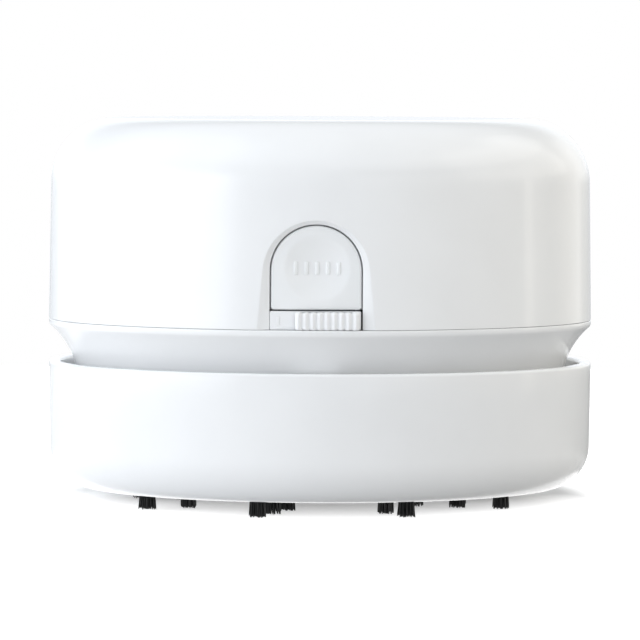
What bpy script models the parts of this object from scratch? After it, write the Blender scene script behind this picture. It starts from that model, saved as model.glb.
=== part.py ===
import math

import bmesh
import bpy
from mathutils import Matrix, Vector

# Driving sizes of the whole cleaner, in metres: what it holds, then its own heights
cell_radius = 0.00725
cell_length = 0.0505
motor_radius = 0.0121
motor_length = 0.0222
tray_room = 0.000549
roof_room = 0.0029
neck_rise = 0.0065
cup_height = 0.0198
tuft_height = 0.00285
draft = 0.0003
gap = 0.0003
overrun = 0.003
weld_distance = 0.000001

# Counts of sides and steps
shell_steps = 56
disc_steps = 40
motor_steps = 28
cell_steps = 20
small_steps = 10
arc_steps = 6
inner_arc_steps = 3
cove_steps = 5
arch_steps = 14

# Top cover
cover_wall = 0.0018
shoulder_radius = 0.010
cover_edge = 0.00025
window_half_width = 0.00708
window_straight = 0.0090
recess_depth = 0.0010
flare_top = 0.0006
flare_side = 0.00106
flare_foot = 0.00188
flare_spread = 0.4
flare_foot_drop = 0.002

# Neck housing
band_height = 0.00105
band_step = 0.0003
band_edge = 0.0002
neck_wall = 0.0015
waist_inset = 0.0046
cove_drop = 0.0095
flange_reach = 0.0010
flange_height = 0.0012
deck_depth = 0.00115
deck_thickness = 0.0015
lip_height = 0.0015
lip_wall = 0.0014
shaft_opening_radius = 0.0040
motor_ring_height = 0.0050
motor_ring_wall = 0.0011
exhaust_count = 16
exhaust_width = 0.0034
exhaust_top_share = 0.93
exhaust_edge = 0.0005
screw_boss_radius = 0.0026
screw_boss_inset = 0.0056
screw_boss_count = 3
pilot_radius = 0.0009
pilot_depth = 0.0045

# Dust cup
cup_wall = 0.00175
cup_floor = 0.0020
cup_fillet = 0.0066
cup_edge = 0.0003
ledge_rise = 0.00915
ledge_thickness = 0.0012
ledge_reach = 0.0011
inlet_radius = 0.0078
inlet_wall = 0.0012
inlet_height = 0.0083
inlet_flare = 0.0008
catch_half_width = 0.0035
catch_thickness = 0.0010
catch_play = 0.0007
catch_reach = 0.0014

# Seal
seal_thickness = 0.0010
seal_inset = 0.0002
seal_width = 0.0015

# Brush rows under the cup
tuft_pitch = 0.0070
tuft_inset = 0.01275
row_count = 8
row_turn = math.radians(-17.6)
strip_width = 0.0038
strip_depth = 0.0011
strip_margin = 0.0021
strip_end_steps = 3
strand_radius = 0.00021
strand_pitch = 0.00055
strand_sides = 3
strands_in_ring = 5
strand_root = 0.0004
strand_fan_share = 0.08

# Fan
fan_cover_thickness = 0.0012
fan_cover_rise = 0.0040
fan_cover_skirt = 0.0015
fan_eye_radius = 0.0110
fan_eye_edge = 0.0005
fan_clearance = 0.0009
fan_back_clearance = 0.0005
fan_boss_clearance = 0.0052
fan_back_thickness = 0.0008
fan_hub_radius = 0.0040
fan_hub_rise = 0.0009
blade_count = 9
blade_root_radius = 0.0085
blade_tip_inset = 0.0006
blade_thickness = 0.0010
blade_sweep = math.radians(-52)
blade_steps = 5
shaft_radius = 0.0010
shaft_seat = 0.0026

# Filter
filter_ring_height = 0.0021
filter_ring_wall = 0.0025
filter_spoke_width = 0.0018
filter_spoke_height = 0.0010
filter_spoke_count = 3
filter_hub_radius = 0.0040
felt_thickness = 0.0008

# Motor
motor_edge = 0.0007
motor_boss_radius = 0.0031
motor_boss_length = 0.0017
motor_bore_depth = 0.0030
end_cap_inset = 0.0011
end_cap_height = 0.0022
terminal_inset = 0.0035
terminal_width = 0.0020
terminal_thickness = 0.0006
terminal_height = 0.0026
strap_width = 0.0070
strap_thickness = 0.0008
strap_foot = 0.0068
strap_boss_radius = 0.0024
strap_boss_height = 0.0030
strap_hole_radius = 0.0011

# Screws
screw_head_radius = 0.0018
screw_head_height = 0.0011
screw_shank_radius = 0.0006
screw_length = 0.0046

# Battery cells, their trays and contacts
cell_nub_radius = 0.00275
cell_nub_length = 0.0010
cell_edge = 0.0005
cell_motor_clearance = 0.00155
cell_rise = 0.0095
tray_base = 0.0010
tray_half_width = 0.0054
tray_wall = 0.0010
tray_wall_rise = 0.0045
saddle_place = 0.0160
saddle_length = 0.0030
saddle_rise = 0.0047
contact_thickness = 0.0003
contact_half_width = 0.0044
contact_half_height = 0.0042
battery_spring_length = 0.0018
battery_spring_wide = 0.0040
battery_spring_narrow = 0.0013
battery_spring_wire = 0.00025
battery_spring_curls = 3
spring_points = 9

# Release button, its latch, guide and spring
button_travel = 0.0020
button_set = 0.0001
button_depth = 0.0030
button_wall = 0.0014
button_lip = 0.0009
button_lip_depth = 0.0010
dish_radius = 0.0046
dish_depth = 0.00045
dish_rise = 0.0004
dish_steps = 28
latch_half_width = 0.0026
latch_stem_height = 0.0026
latch_stem_rise = 0.0057
latch_arm_thickness = 0.0013
latch_arm_clearance = 0.0006
latch_nose_clearance = 0.0005
latch_nose_thickness = 0.0012
latch_nose_slope = 0.0006
guide_thickness = 0.0012
guide_half_width = 0.0090
guide_leg_width = 0.0023
guide_top_margin = 0.0034
guide_play = 0.0004
button_spring_wire = 0.0002
button_spring_radius = 0.0012
button_spring_curls = 3.5
button_spring_drop = 0.0024

# Slide switch
track_height = 0.00285
track_thickness = 0.0011
track_set = 0.0005
knob_end_gap = 0.00018
knob_thickness = 0.0008
knob_travel = 0.0036
knob_rib_count = 9
knob_rib_rise = 0.0004
knob_rib_steps = 4
slider_half_width = 0.0010
slider_half_height = 0.0005
slider_rise = 0.0016
slider_play = 0.0003
board_thickness = 0.0010
board_guide_clearance = 0.0007
board_depth = 0.0053
board_inset = 0.0004
switch_inset = 0.0002
switch_depth = 0.0037
switch_slot_depth = 0.0012

# Leads
lead_radius = 0.0004
lead_points = 14
lead_place = 0.0050
lead_lift = 0.0014

# The outer radius leaves room for the trays' corners, and the cover's height for the motor's stack
nub_end = (cell_length + battery_spring_length) / 2
contact_inside = nub_end + gap + contact_thickness
tray_end = contact_inside + gap + tray_wall
cell_place = motor_radius + cell_motor_clearance + cell_radius
tray_corner = math.hypot(cell_place + tray_half_width, tray_end)
outer_radius = tray_corner + tray_room + lip_wall + gap + cover_wall
motor_stack = motor_length + gap + end_cap_height + gap + terminal_height
cover_height = gap - deck_depth + motor_stack + roof_room + cover_wall

# Heights worked out from the driving sizes
cup_bottom = tuft_height
cup_top = cup_bottom + cup_height
seam = cup_top + neck_rise
cover_top = seam + cover_height
deck_top = seam - deck_depth
deck_bottom = deck_top - deck_thickness
ledge_top = cup_bottom + ledge_rise
neck_bottom = ledge_top + gap + seal_thickness + gap
fan_cover_bottom = neck_bottom + fan_cover_rise
fan_cover_top = fan_cover_bottom + fan_cover_thickness
arch_centre = seam + window_straight
button_bottom = seam + track_height + gap
nose_bottom = fan_cover_top + latch_nose_clearance
nose_top = nose_bottom + latch_nose_thickness
catch_bottom = nose_top + catch_play
cell_height = deck_top + cell_rise

# Radii worked out from the driving sizes
cover_inside = outer_radius - cover_wall
recess_radius = outer_radius - recess_depth
band_radius = outer_radius - band_step
waist_radius = outer_radius - waist_inset
neck_inside = waist_radius - neck_wall
flange_radius = waist_radius + flange_reach
lip_outside = cover_inside - gap
lip_inside = lip_outside - lip_wall
cup_inside = outer_radius - cup_wall
ledge_inside = waist_radius - ledge_reach
screw_boss_place = neck_inside - screw_boss_inset
fan_radius = screw_boss_place - screw_boss_radius - fan_boss_clearance
tuft_outermost = outer_radius - tuft_inset
motor_ring_inside = motor_radius + gap
terminal_place = motor_radius - end_cap_inset - terminal_inset

# Places along the front
button_front = recess_radius - button_set
button_back = button_front - button_depth
guide_front = button_back - button_travel - guide_play
guide_back = guide_front - guide_thickness
track_front = recess_radius - track_set
track_back = track_front - track_thickness
knob_back = track_front + gap
board_half_width = guide_half_width - guide_leg_width - board_guide_clearance
switch_half_width = board_half_width - switch_inset
board_corner = lip_inside - board_inset - gap
board_front = math.sqrt(board_corner**2 - board_half_width**2)
board_back = board_front - board_depth
latch_arm_place = board_back - latch_arm_clearance - latch_arm_thickness

# Places along the switch's track
track_half_width = window_half_width - gap
knob_offset = knob_travel / 2
knob_half_width = track_half_width - knob_offset - knob_end_gap

white = (0.86, 0.88, 0.89)
light_grey = (0.62, 0.64, 0.66)
dark_grey = (0.08, 0.08, 0.09)
black = (0.012, 0.012, 0.012)
steel = (0.66, 0.67, 0.68)
brass = (0.80, 0.62, 0.28)

turn_to_front = Matrix.Rotation(math.pi / 2, 4, "X")
turn_to_back = Matrix.Rotation(-math.pi / 2, 4, "X")
turn_to_side = Matrix(((0, 0, 1, 0), (1, 0, 0, 0), (0, 1, 0, 0), (0, 0, 0, 1)))


def clear_scene():
    for obj in list(bpy.data.objects):
        bpy.data.objects.remove(obj, do_unlink=True)


def make_collection(name):
    collection = bpy.data.collections.new(name)
    bpy.context.scene.collection.children.link(collection)
    return collection


clear_scene()
parts = make_collection("desktop_vacuum")
tools = make_collection("cutters")


def place(obj, collection):
    collection.objects.link(obj)
    if collection is tools:
        obj.hide_render = True
        obj.display_type = "WIRE"
    return obj


def finish(obj, colour, roughness, metallic=0.0):
    """Give a piece its own material."""
    material = bpy.data.materials.new(obj.name + "_finish")
    material.use_nodes = True
    shader = material.node_tree.nodes["Principled BSDF"]
    shader.inputs["Base Color"].default_value = (*colour, 1.0)
    shader.inputs["Roughness"].default_value = roughness
    shader.inputs["Metallic"].default_value = metallic
    obj.data.materials.append(material)
    return obj


def from_bmesh(name, shape, collection, location=(0, 0, 0)):
    mesh = bpy.data.meshes.new(name)
    shape.to_mesh(mesh)
    shape.free()
    obj = bpy.data.objects.new(name, mesh)
    obj.location = location
    return place(obj, collection)


def turned(name, profile, steps, collection=parts):
    """Turn (radius, height) points about z. The profile runs out, down, in and up again."""
    points = [(radius, 0, height) for radius, height in profile]
    edges = [(i, i + 1) for i in range(len(points) - 1)]
    if profile[0][0] > 0:
        edges.append((len(points) - 1, 0))
    mesh = bpy.data.meshes.new(name)
    mesh.from_pydata(points, edges, [])
    obj = place(bpy.data.objects.new(name, mesh), collection)
    screw = obj.modifiers.new("turn", "SCREW")
    screw.axis = "Z"
    screw.steps = steps
    screw.render_steps = steps
    screw.use_merge_vertices = True
    screw.merge_threshold = weld_distance
    return obj


def block(name, low, high, collection=parts, bevel=0.0):
    """A box between two corners."""
    size = [b - a for a, b in zip(low, high)]
    centre = [(a + b) / 2 for a, b in zip(low, high)]
    shape = bmesh.new()
    bmesh.ops.create_cube(shape, size=1.0, matrix=Matrix.Diagonal((*size, 1.0)))
    obj = from_bmesh(name, shape, collection, centre)
    if bevel > 0:
        rounding = obj.modifiers.new("edges", "BEVEL")
        rounding.width = bevel
        rounding.segments = 1
    return obj


def rod(name, radius, low, high, collection=parts, place_xy=(0, 0), steps=small_steps):
    """An upright cylinder between two heights."""
    shape = bmesh.new()
    bmesh.ops.create_cone(
        shape,
        cap_ends=True,
        segments=steps,
        radius1=radius,
        radius2=radius,
        depth=high - low,
    )
    return from_bmesh(name, shape, collection, (*place_xy, (low + high) / 2))


def plate(name, outline, low, high, turn=Matrix(), collection=parts, location=(0, 0, 0)):
    """A flat outline given its thickness between two levels, then turned and placed."""
    curve = bpy.data.curves.new(name, "CURVE")
    curve.dimensions = "2D"
    curve.fill_mode = "BOTH"
    curve.extrude = (high - low) / 2
    spline = curve.splines.new("POLY")
    spline.points.add(len(outline) - 1)
    for point, (u, v) in zip(spline.points, outline):
        point.co = (u, v, 0, 1)
    spline.use_cyclic_u = True
    level = Matrix.Translation((0, 0, (low + high) / 2))
    source = bpy.data.objects.new(name + "_outline", curve)
    source.matrix_world = Matrix.Translation(location) @ turn @ level
    bpy.context.scene.collection.objects.link(source)
    bpy.context.view_layer.update()
    depsgraph = bpy.context.evaluated_depsgraph_get()
    mesh = bpy.data.meshes.new_from_object(source.evaluated_get(depsgraph))
    mesh.name = name
    shape = bmesh.new()
    shape.from_mesh(mesh)
    bmesh.ops.remove_doubles(shape, verts=shape.verts, dist=weld_distance)
    bmesh.ops.recalc_face_normals(shape, faces=shape.faces)
    shape.to_mesh(mesh)
    shape.free()
    obj = bpy.data.objects.new(name, mesh)
    obj.matrix_world = source.matrix_world.copy()
    bpy.data.objects.remove(source, do_unlink=True)
    return place(obj, collection)


def wire(name, points, radius):
    """A tube along points, with closed ends."""
    curve = bpy.data.curves.new(name, "CURVE")
    curve.dimensions = "3D"
    curve.bevel_depth = radius
    curve.bevel_resolution = 1
    curve.use_fill_caps = True
    spline = curve.splines.new("POLY")
    spline.points.add(len(points) - 1)
    for point, place_xyz in zip(spline.points, points):
        point.co = (*place_xyz, 1)
    return place(bpy.data.objects.new(name, curve), parts)


def combine(target, tool, operation):
    boolean = target.modifiers.new(tool.name, "BOOLEAN")
    boolean.object = tool
    boolean.operation = operation


def cut(target, tool):
    combine(target, tool, "DIFFERENCE")


def join(target, tool):
    combine(target, tool, "UNION")


def arc(centre, radius, start, end, steps):
    """Points of a round corner, its start and end angles included."""
    angles = [start + (end - start) * i / steps for i in range(steps + 1)]
    return [(centre[0] + radius * math.cos(a), centre[1] + radius * math.sin(a)) for a in angles]


def around(radius, angle):
    return (radius * math.cos(angle), radius * math.sin(angle))


def smooth_route(marks, count):
    """Points along a smooth curve through the marks."""
    vectors = [Vector(mark) for mark in marks]
    ends = [2 * vectors[0] - vectors[1]] + vectors + [2 * vectors[-1] - vectors[-2]]
    points = []
    for i in range(count + 1):
        along = (len(marks) - 1) * i / count
        k = min(int(along), len(marks) - 2)
        t = along - k
        a, b, c, d = ends[k : k + 4]
        turn = (c - a) * t + (2 * a - 5 * b + 4 * c - d) * t**2 + (3 * b - a - 3 * c + d) * t**3
        points.append(b + turn / 2)
    return points


def arch_outline(half_width, centre, foot, steps=arch_steps):
    """A round-topped window: two straight sides and a half circle, in x and z."""
    top = arc((0, centre), half_width, 0, math.pi, steps)
    return [(half_width, foot)] + top + [(-half_width, foot)]


def flare_cutter(name):
    """The hollow that runs out from the window's edge to the cover's skin, wider at its foot.

    Each side point of the arch is carried along a straight flare from a little inside the recess
    radius to a little outside the skin, then straight on to the front. Level strips close the ends.
    """
    foot = seam - flare_foot_drop
    half = arch_outline(window_half_width, arch_centre, foot)[: arch_steps // 2 + 2]
    rows = ([], [], [])
    for x, z in half:
        if z <= arch_centre:
            drop_share = (arch_centre - z) / window_straight
            width = flare_side + (flare_foot - flare_side) * drop_share
            heading = (1.0, 0.0)
        else:
            rise_share = (z - arch_centre) / window_half_width
            width = flare_side + (flare_top - flare_side) * rise_share
            heading = (x / window_half_width, (z - arch_centre) / window_half_width)
        for share, row in ((-flare_spread, rows[0]), (1 + flare_spread, rows[1])):
            radius = recess_radius + recess_depth * share
            side = max(x + heading[0] * width * share, 0.0)
            height = z + heading[1] * width * share
            row.append((side, -math.sqrt(radius**2 - side**2), height))
        rows[2].append((side, -outer_radius - overrun, height))
    shape = bmesh.new()
    made = []
    for row in rows:
        right = [shape.verts.new(point) for point in row]
        left = [shape.verts.new((-x, y, z)) for x, y, z in row[:-1]] + [right[-1]]
        made.append((right, left))
    last = len(half) - 1
    for near, far in ((made[0], made[1]), (made[1], made[2])):
        for one, other in zip(near, far):
            for k in range(last):
                shape.faces.new((one[k], one[k + 1], other[k + 1], other[k]))
        shape.faces.new((near[0][0], far[0][0], far[1][0], near[1][0]))
    for right, left in (made[0], made[2]):
        for k in range(last):
            corners = [right[k], right[k + 1], left[k + 1], left[k]]
            shape.faces.new(corners if k < last - 1 else corners[:2] + corners[3:])
    bmesh.ops.recalc_face_normals(shape, faces=shape.faces)
    return from_bmesh(name, shape, tools)


def make_top_cover():
    """The domed cover: flat top, round shoulder, slightly drafted wall and the arched window."""
    top_radius = outer_radius - draft
    shoulder_centre = (top_radius - shoulder_radius, cover_top - shoulder_radius)
    profile = [(0, cover_top)]
    profile += arc(shoulder_centre, shoulder_radius, math.pi / 2, 0, arc_steps)
    profile += [(outer_radius, seam + cover_edge), (outer_radius - cover_edge, seam)]
    profile += [(cover_inside, seam)]
    profile += arc(shoulder_centre, shoulder_radius - cover_wall, 0, math.pi / 2, inner_arc_steps)
    profile += [(0, cover_top - cover_wall)]
    cover = turned("top_cover", profile, shell_steps)
    cut(cover, flare_cutter("recess_cutter"))
    outline = arch_outline(window_half_width, arch_centre, seam - overrun)
    window = plate("window_cutter", outline, button_back, outer_radius + overrun, turn_to_front, tools)
    cut(cover, window)
    finish(cover, white, 0.18)


def cove_radius_at(height, inset=0.0):
    """The hollow curve of the neck: an arc that comes down upright at the waist."""
    reach = band_radius - waist_radius
    arc_radius = (reach**2 + cove_drop**2) / (2 * reach)
    waist_height = seam - band_height - cove_drop
    rise = max(height - waist_height, 0.0)
    return waist_radius - inset + arc_radius - math.sqrt(arc_radius**2 - rise**2)


def make_neck_housing():
    """The band under the seam, the hollow neck and the drum that plugs into the cup."""
    band_top = seam - gap
    band_bottom = seam - band_height
    waist_height = band_bottom - cove_drop
    flange_top = neck_bottom + flange_height
    ring_outside = motor_ring_inside + motor_ring_wall
    ring_top = deck_top + motor_ring_height
    heights = [band_bottom - cove_drop * i / cove_steps for i in range(cove_steps + 1)]
    inner_heights = [waist_height, (waist_height + deck_bottom) / 2, deck_bottom]
    profile = [(lip_outside, seam + lip_height), (lip_outside, band_top)]
    profile += [(outer_radius - band_edge, band_top), (outer_radius, band_top - band_edge)]
    profile += [(cove_radius_at(height), height) for height in heights]
    profile += [(waist_radius, flange_top), (flange_radius, flange_top)]
    profile += [(flange_radius, neck_bottom), (neck_inside, neck_bottom)]
    profile += [(cove_radius_at(height, neck_wall), height) for height in inner_heights]
    profile += [(shaft_opening_radius, deck_bottom), (shaft_opening_radius, deck_top)]
    profile += [(motor_ring_inside, deck_top), (motor_ring_inside, ring_top)]
    profile += [(ring_outside, ring_top), (ring_outside, deck_top)]
    profile += [(lip_inside, deck_top), (lip_inside, seam + lip_height)]
    housing = turned("neck_housing", profile, shell_steps)
    for i in range(screw_boss_count):
        spot = around(screw_boss_place, math.pi / 2 + 2 * math.pi * i / screw_boss_count)
        low = fan_cover_top + gap
        boss = rod(f"cover_boss_{i}", screw_boss_radius, low, deck_bottom + gap, tools, spot)
        join(housing, boss)
        pilot = rod(f"cover_pilot_{i}", pilot_radius, low - overrun, low + pilot_depth, tools, spot)
        cut(housing, pilot)
    for side in (-1, 1):
        spot = (0, side * strap_boss_place)
        top = deck_top + strap_boss_height
        boss = rod(f"strap_boss_{side}", strap_boss_radius, deck_top - gap, top, tools, spot)
        join(housing, boss)
        low = deck_bottom + gap + gap
        pilot = rod(f"strap_pilot_{side}", pilot_radius, low, top + overrun, tools, spot)
        cut(housing, pilot)
    cut_exhaust(housing)
    cut_front_openings(housing)
    finish(housing, white, 0.22)


def cut_exhaust(housing):
    """A ring of slots between the fan space and the open gap inside the cup's rim."""
    low = fan_cover_top + exhaust_edge
    high = cup_bottom + cup_height * exhaust_top_share
    half = exhaust_width / 2
    front_share = 1.5 / exhaust_count
    for i in range(exhaust_count):
        turn = (i + 0.5) / exhaust_count
        if min(turn, 1 - turn) < front_share:
            continue
        slot = block(
            f"exhaust_cutter_{i}",
            (neck_inside - overrun, -half, low),
            (cup_inside, half, high),
            tools,
        )
        slot.location = (*around(slot.location.x, turn * 2 * math.pi - math.pi / 2), slot.location.z)
        slot.rotation_euler = (0, 0, turn * 2 * math.pi - math.pi / 2)
        cut(housing, slot)


def cut_front_openings(housing):
    """The latch's ways through the deck and the drum, and the lip's notch behind the switch."""
    half = latch_half_width + gap + gap
    arm_front = -latch_arm_place - latch_arm_thickness - gap
    arm_back = -latch_arm_place + button_travel + gap
    low = (-half, arm_front, deck_bottom - overrun)
    cut(housing, block("latch_slot_cutter", low, (half, arm_back, deck_top + overrun), tools))
    low = (-half, -cup_inside, nose_bottom - gap)
    high = (half, -neck_inside + overrun, nose_top + gap)
    cut(housing, block("nose_window_cutter", low, high, tools))
    half = window_half_width + gap
    low = (-half, -lip_outside - gap, seam - gap / 2)
    high = (half, -lip_inside + overrun, seam + lip_height + overrun)
    cut(housing, block("lip_notch_cutter", low, high, tools))


def make_dust_cup():
    """The cup: rim, wall, big round lower edge, flat underside, raised inlet and inner ledge."""
    low_radius = outer_radius - draft
    fillet_centre = (low_radius - cup_fillet, cup_bottom + cup_fillet)
    inner_fillet = cup_fillet - cup_floor
    inner_centre = (low_radius - cup_fillet, cup_bottom + cup_floor + inner_fillet)
    ledge_bottom = ledge_top - ledge_thickness
    inlet_outside = inlet_radius + inlet_wall
    inlet_top = cup_bottom + inlet_height
    profile = [(outer_radius - cup_edge, cup_top), (outer_radius, cup_top - cup_edge)]
    profile += arc(fillet_centre, cup_fillet, 0, -math.pi / 2, arc_steps)
    profile += [(inlet_radius + inlet_flare, cup_bottom), (inlet_radius, cup_bottom + inlet_flare)]
    profile += [(inlet_radius, inlet_top), (inlet_outside, inlet_top)]
    profile += [(inlet_outside, cup_bottom + cup_floor)]
    inner = arc(inner_centre, inner_fillet, -math.pi / 2, 0, inner_arc_steps)
    profile += inner
    profile += [(inner[-1][0], ledge_bottom), (ledge_inside, ledge_bottom)]
    profile += [(ledge_inside, ledge_top), (cup_inside, ledge_top)]
    profile += [(cup_inside, cup_top - cup_edge), (cup_inside + cup_edge, cup_top)]
    cup = turned("dust_cup", profile, shell_steps)
    catch_face = cup_inside - catch_reach
    low = (-catch_half_width, -cup_inside - cup_wall / 2, catch_bottom)
    high = (catch_half_width, -catch_face, catch_bottom + catch_thickness)
    join(cup, block("catch", low, high, tools))
    for i in range(row_count):
        cut(cup, make_strip(f"strip_cutter_{i}", i, gap, tools))
    finish(cup, white, 0.2)


def row_angle(index):
    """Rows stand an eighth of a turn apart, the first a little left of the front."""
    return -math.pi / 2 + row_turn + 2 * math.pi * index / row_count


def row_tufts(index):
    """Rows of three tufts and rows of two take turns."""
    return 3 - index % 2


def make_strip(name, index, clearance, collection):
    """A flat strip with round ends that carries one row, or with a clearance its pocket."""
    half = strip_width / 2 + clearance
    inner = tuft_outermost - tuft_pitch * (row_tufts(index) - 1) - strip_margin + strip_width / 2
    outer = tuft_outermost + strip_margin - strip_width / 2
    outline = arc((outer, 0), half, -math.pi / 2, math.pi / 2, strip_end_steps)
    outline += arc((inner, 0), half, math.pi / 2, 3 * math.pi / 2, strip_end_steps)
    low = cup_bottom - (overrun if clearance > 0 else 0)
    turn = Matrix.Rotation(row_angle(index), 4, "Z")
    return plate(name, outline, low, cup_bottom + strip_depth + clearance, turn, collection)


def make_brush_row(index):
    """One strip with its tufts: each a bundle of strands that spreads a little to its tips."""
    strip = make_strip(f"brush_row_{index + 1}", index, 0, parts)
    shape = bmesh.new()
    length = tuft_height + strand_root
    for tuft in range(row_tufts(index)):
        centre = tuft_outermost - tuft_pitch * tuft
        spots = [(0.0, 0.0)]
        for ring in (1, 2):
            count = strands_in_ring * ring
            spots += [around(strand_pitch * ring, 2 * math.pi * k / count) for k in range(count)]
        for x, y in spots:
            lean = Matrix.Identity(4)
            lean[0][2] = -x * strand_fan_share / length
            lean[1][2] = -y * strand_fan_share / length
            spot = Matrix.Translation((centre + x, y, length / 2))
            bmesh.ops.create_cone(
                shape,
                cap_ends=True,
                segments=strand_sides,
                radius1=strand_radius,
                radius2=strand_radius,
                depth=length,
                matrix=spot @ lean,
            )
    strands = from_bmesh(f"strands_{index}", shape, tools)
    strands.rotation_euler = (0, 0, row_angle(index))
    join(strip, strands)
    finish(strip, black, 0.45)


def make_seal():
    low = ledge_top + gap
    outside = flange_radius - seal_inset
    inside = outside - seal_width
    profile = [(outside, low + seal_thickness), (outside, low), (inside, low), (inside, low + seal_thickness)]
    finish(turned("seal_ring", profile, shell_steps), dark_grey, 0.6)


def make_fan_cover():
    """The plate between filter and fan, with the fan's eye and a skirt round the filter."""
    outside = neck_inside - gap
    inside = outside - fan_cover_skirt
    profile = [(outside, fan_cover_top), (outside, neck_bottom), (inside, neck_bottom)]
    profile += [(inside, fan_cover_bottom), (fan_eye_radius + fan_eye_edge, fan_cover_bottom)]
    profile += [(fan_eye_radius, fan_cover_bottom + fan_eye_edge), (fan_eye_radius, fan_cover_top)]
    cover = turned("fan_cover", profile, disc_steps)
    hole = screw_shank_radius + gap + gap
    for i in range(screw_boss_count):
        spot = around(screw_boss_place, math.pi / 2 + 2 * math.pi * i / screw_boss_count)
        low = fan_cover_bottom - overrun
        cut(cover, rod(f"cover_hole_{i}", hole, low, fan_cover_top + overrun, tools, spot))
        make_screw(f"fan_cover_screw_{i + 1}", spot, fan_cover_bottom - gap, -1)
    finish(cover, light_grey, 0.35)


def make_screw(name, spot, seat, head_side):
    """A pan-head screw whose head lies above (1) or below (-1) its seat."""
    head_end = seat + head_side * screw_head_height
    tip = seat - head_side * screw_length
    round_edge = screw_head_height / 3
    levels = [
        (0, head_end),
        (screw_head_radius - round_edge, head_end),
        (screw_head_radius, head_end - head_side * round_edge),
        (screw_head_radius, seat),
        (screw_shank_radius, seat),
        (screw_shank_radius, tip),
        (0, tip),
    ]
    if head_side < 0:
        levels.reverse()
    screw = turned(name, levels, small_steps)
    screw.location = (*spot, 0)
    finish(screw, steel, 0.3, 1.0)


def make_filter():
    """A spoked ring that clips inside the fan cover's skirt, with a disc of felt on its spokes."""
    outside = neck_inside - gap - fan_cover_skirt - gap
    inside = outside - filter_ring_wall
    top = neck_bottom + filter_ring_height
    spoke_top = neck_bottom + filter_spoke_height
    profile = [(outside, top), (outside, neck_bottom), (inside, neck_bottom), (inside, top)]
    ring = turned("filter_frame", profile, disc_steps)
    half = filter_spoke_width / 2
    reach = inside + filter_ring_wall / 2
    for i in range(filter_spoke_count):
        low = (-reach, -half, neck_bottom + gap)
        spoke = block(f"spoke_{i}", low, (reach, half, spoke_top), tools)
        spoke.rotation_euler = (0, 0, math.pi * i / filter_spoke_count)
        join(ring, spoke)
    hub = rod("filter_hub", filter_hub_radius, neck_bottom + gap / 2, spoke_top + gap / 2, tools)
    join(ring, hub)
    finish(ring, light_grey, 0.35)
    low = spoke_top + gap + gap / 2
    felt = rod("filter_felt", inside - gap, low, low + felt_thickness, steps=disc_steps)
    finish(felt, (0.75, 0.76, 0.78), 0.9)


def make_impeller():
    """A back plate with a hub and backward-curved blades that hang from it."""
    top = deck_bottom - fan_back_clearance
    back = top - fan_back_thickness
    blade_low = fan_cover_top + fan_clearance
    bore = shaft_radius + gap
    profile = [(fan_radius, top), (fan_radius, back), (fan_hub_radius, back)]
    profile += [(fan_hub_radius, blade_low + fan_hub_rise), (bore, blade_low + fan_hub_rise), (bore, top)]
    fan = turned("impeller", profile, disc_steps)
    tip_radius = fan_radius - blade_tip_inset
    for i in range(blade_count):
        outline = []
        for side in (1, -1):
            edge = []
            for k in range(blade_steps + 1):
                share = k / blade_steps
                radius = blade_root_radius + (tip_radius - blade_root_radius) * share
                bend = blade_sweep * share + side * blade_thickness / (2 * radius)
                edge.append(around(radius, bend + 2 * math.pi * i / blade_count))
            outline += edge if side > 0 else edge[::-1]
        join(fan, plate(f"blade_{i}", outline, blade_low, back + gap, collection=tools))
    finish(fan, dark_grey, 0.4)
    shaft_top = deck_top + gap + shaft_seat - motor_boss_length
    shaft = rod("motor_shaft", shaft_radius, blade_low + fan_hub_rise, shaft_top)
    finish(shaft, steel, 0.2, 1.0)


def make_motor():
    """A round steel can with its front boss and bore, a plastic end cap and two terminals."""
    low = deck_top + gap
    top = low + motor_length
    bore = shaft_radius + gap
    boss_low = low - motor_boss_length
    profile = [(0, top), (motor_radius - motor_edge, top), (motor_radius, top - motor_edge)]
    profile += [(motor_radius, low + motor_edge), (motor_radius - motor_edge, low)]
    profile += [(motor_boss_radius, low), (motor_boss_radius, boss_low), (bore, boss_low)]
    profile += [(bore, boss_low + motor_bore_depth), (0, boss_low + motor_bore_depth)]
    finish(turned("motor_can", profile, motor_steps), steel, 0.3, 1.0)
    cap_low = top + gap
    cap_top = cap_low + end_cap_height
    cap_radius = motor_radius - end_cap_inset
    cap = rod("motor_end_cap", cap_radius, cap_low, cap_top, steps=motor_steps)
    finish(cap, dark_grey, 0.5)
    for side, word in ((-1, "left"), (1, "right")):
        x = side * terminal_place
        low_corner = (x - terminal_width / 2, -terminal_thickness / 2, cap_top + gap)
        high_corner = (x + terminal_width / 2, terminal_thickness / 2, cap_top + gap + terminal_height)
        finish(block(f"motor_terminal_{word}", low_corner, high_corner), brass, 0.3, 1.0)
    make_strap(cap_top + gap)
    return cap_top + gap + terminal_height


def make_strap(under_top):
    """A bent steel strap over the motor, with a foot on a boss at the front and at the back."""
    inside = motor_ring_inside + motor_ring_wall + gap
    outside = inside + strap_thickness
    foot_low = deck_top + strap_boss_height + gap
    foot_high = foot_low + strap_thickness
    half = [(outside + strap_foot, foot_low), (outside + strap_foot, foot_high)]
    half += [(outside, foot_high), (outside, under_top + strap_thickness)]
    other_half = [(-y, z) for y, z in reversed(half)]
    under = [(-inside, foot_low), (-inside, under_top), (inside, under_top), (inside, foot_low)]
    outline = half + other_half + under
    strap = plate("motor_strap", outline, -strap_width / 2, strap_width / 2, turn_to_side)
    for side, word in ((-1, "front"), (1, "back")):
        spot = (0, side * strap_boss_place)
        hole = rod(f"strap_hole_{word}", strap_hole_radius, foot_low - gap, foot_high + gap, tools, spot)
        cut(strap, hole)
        make_screw(f"strap_screw_{word}", spot, foot_high + gap, 1)
    finish(strap, steel, 0.35, 1.0)


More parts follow.
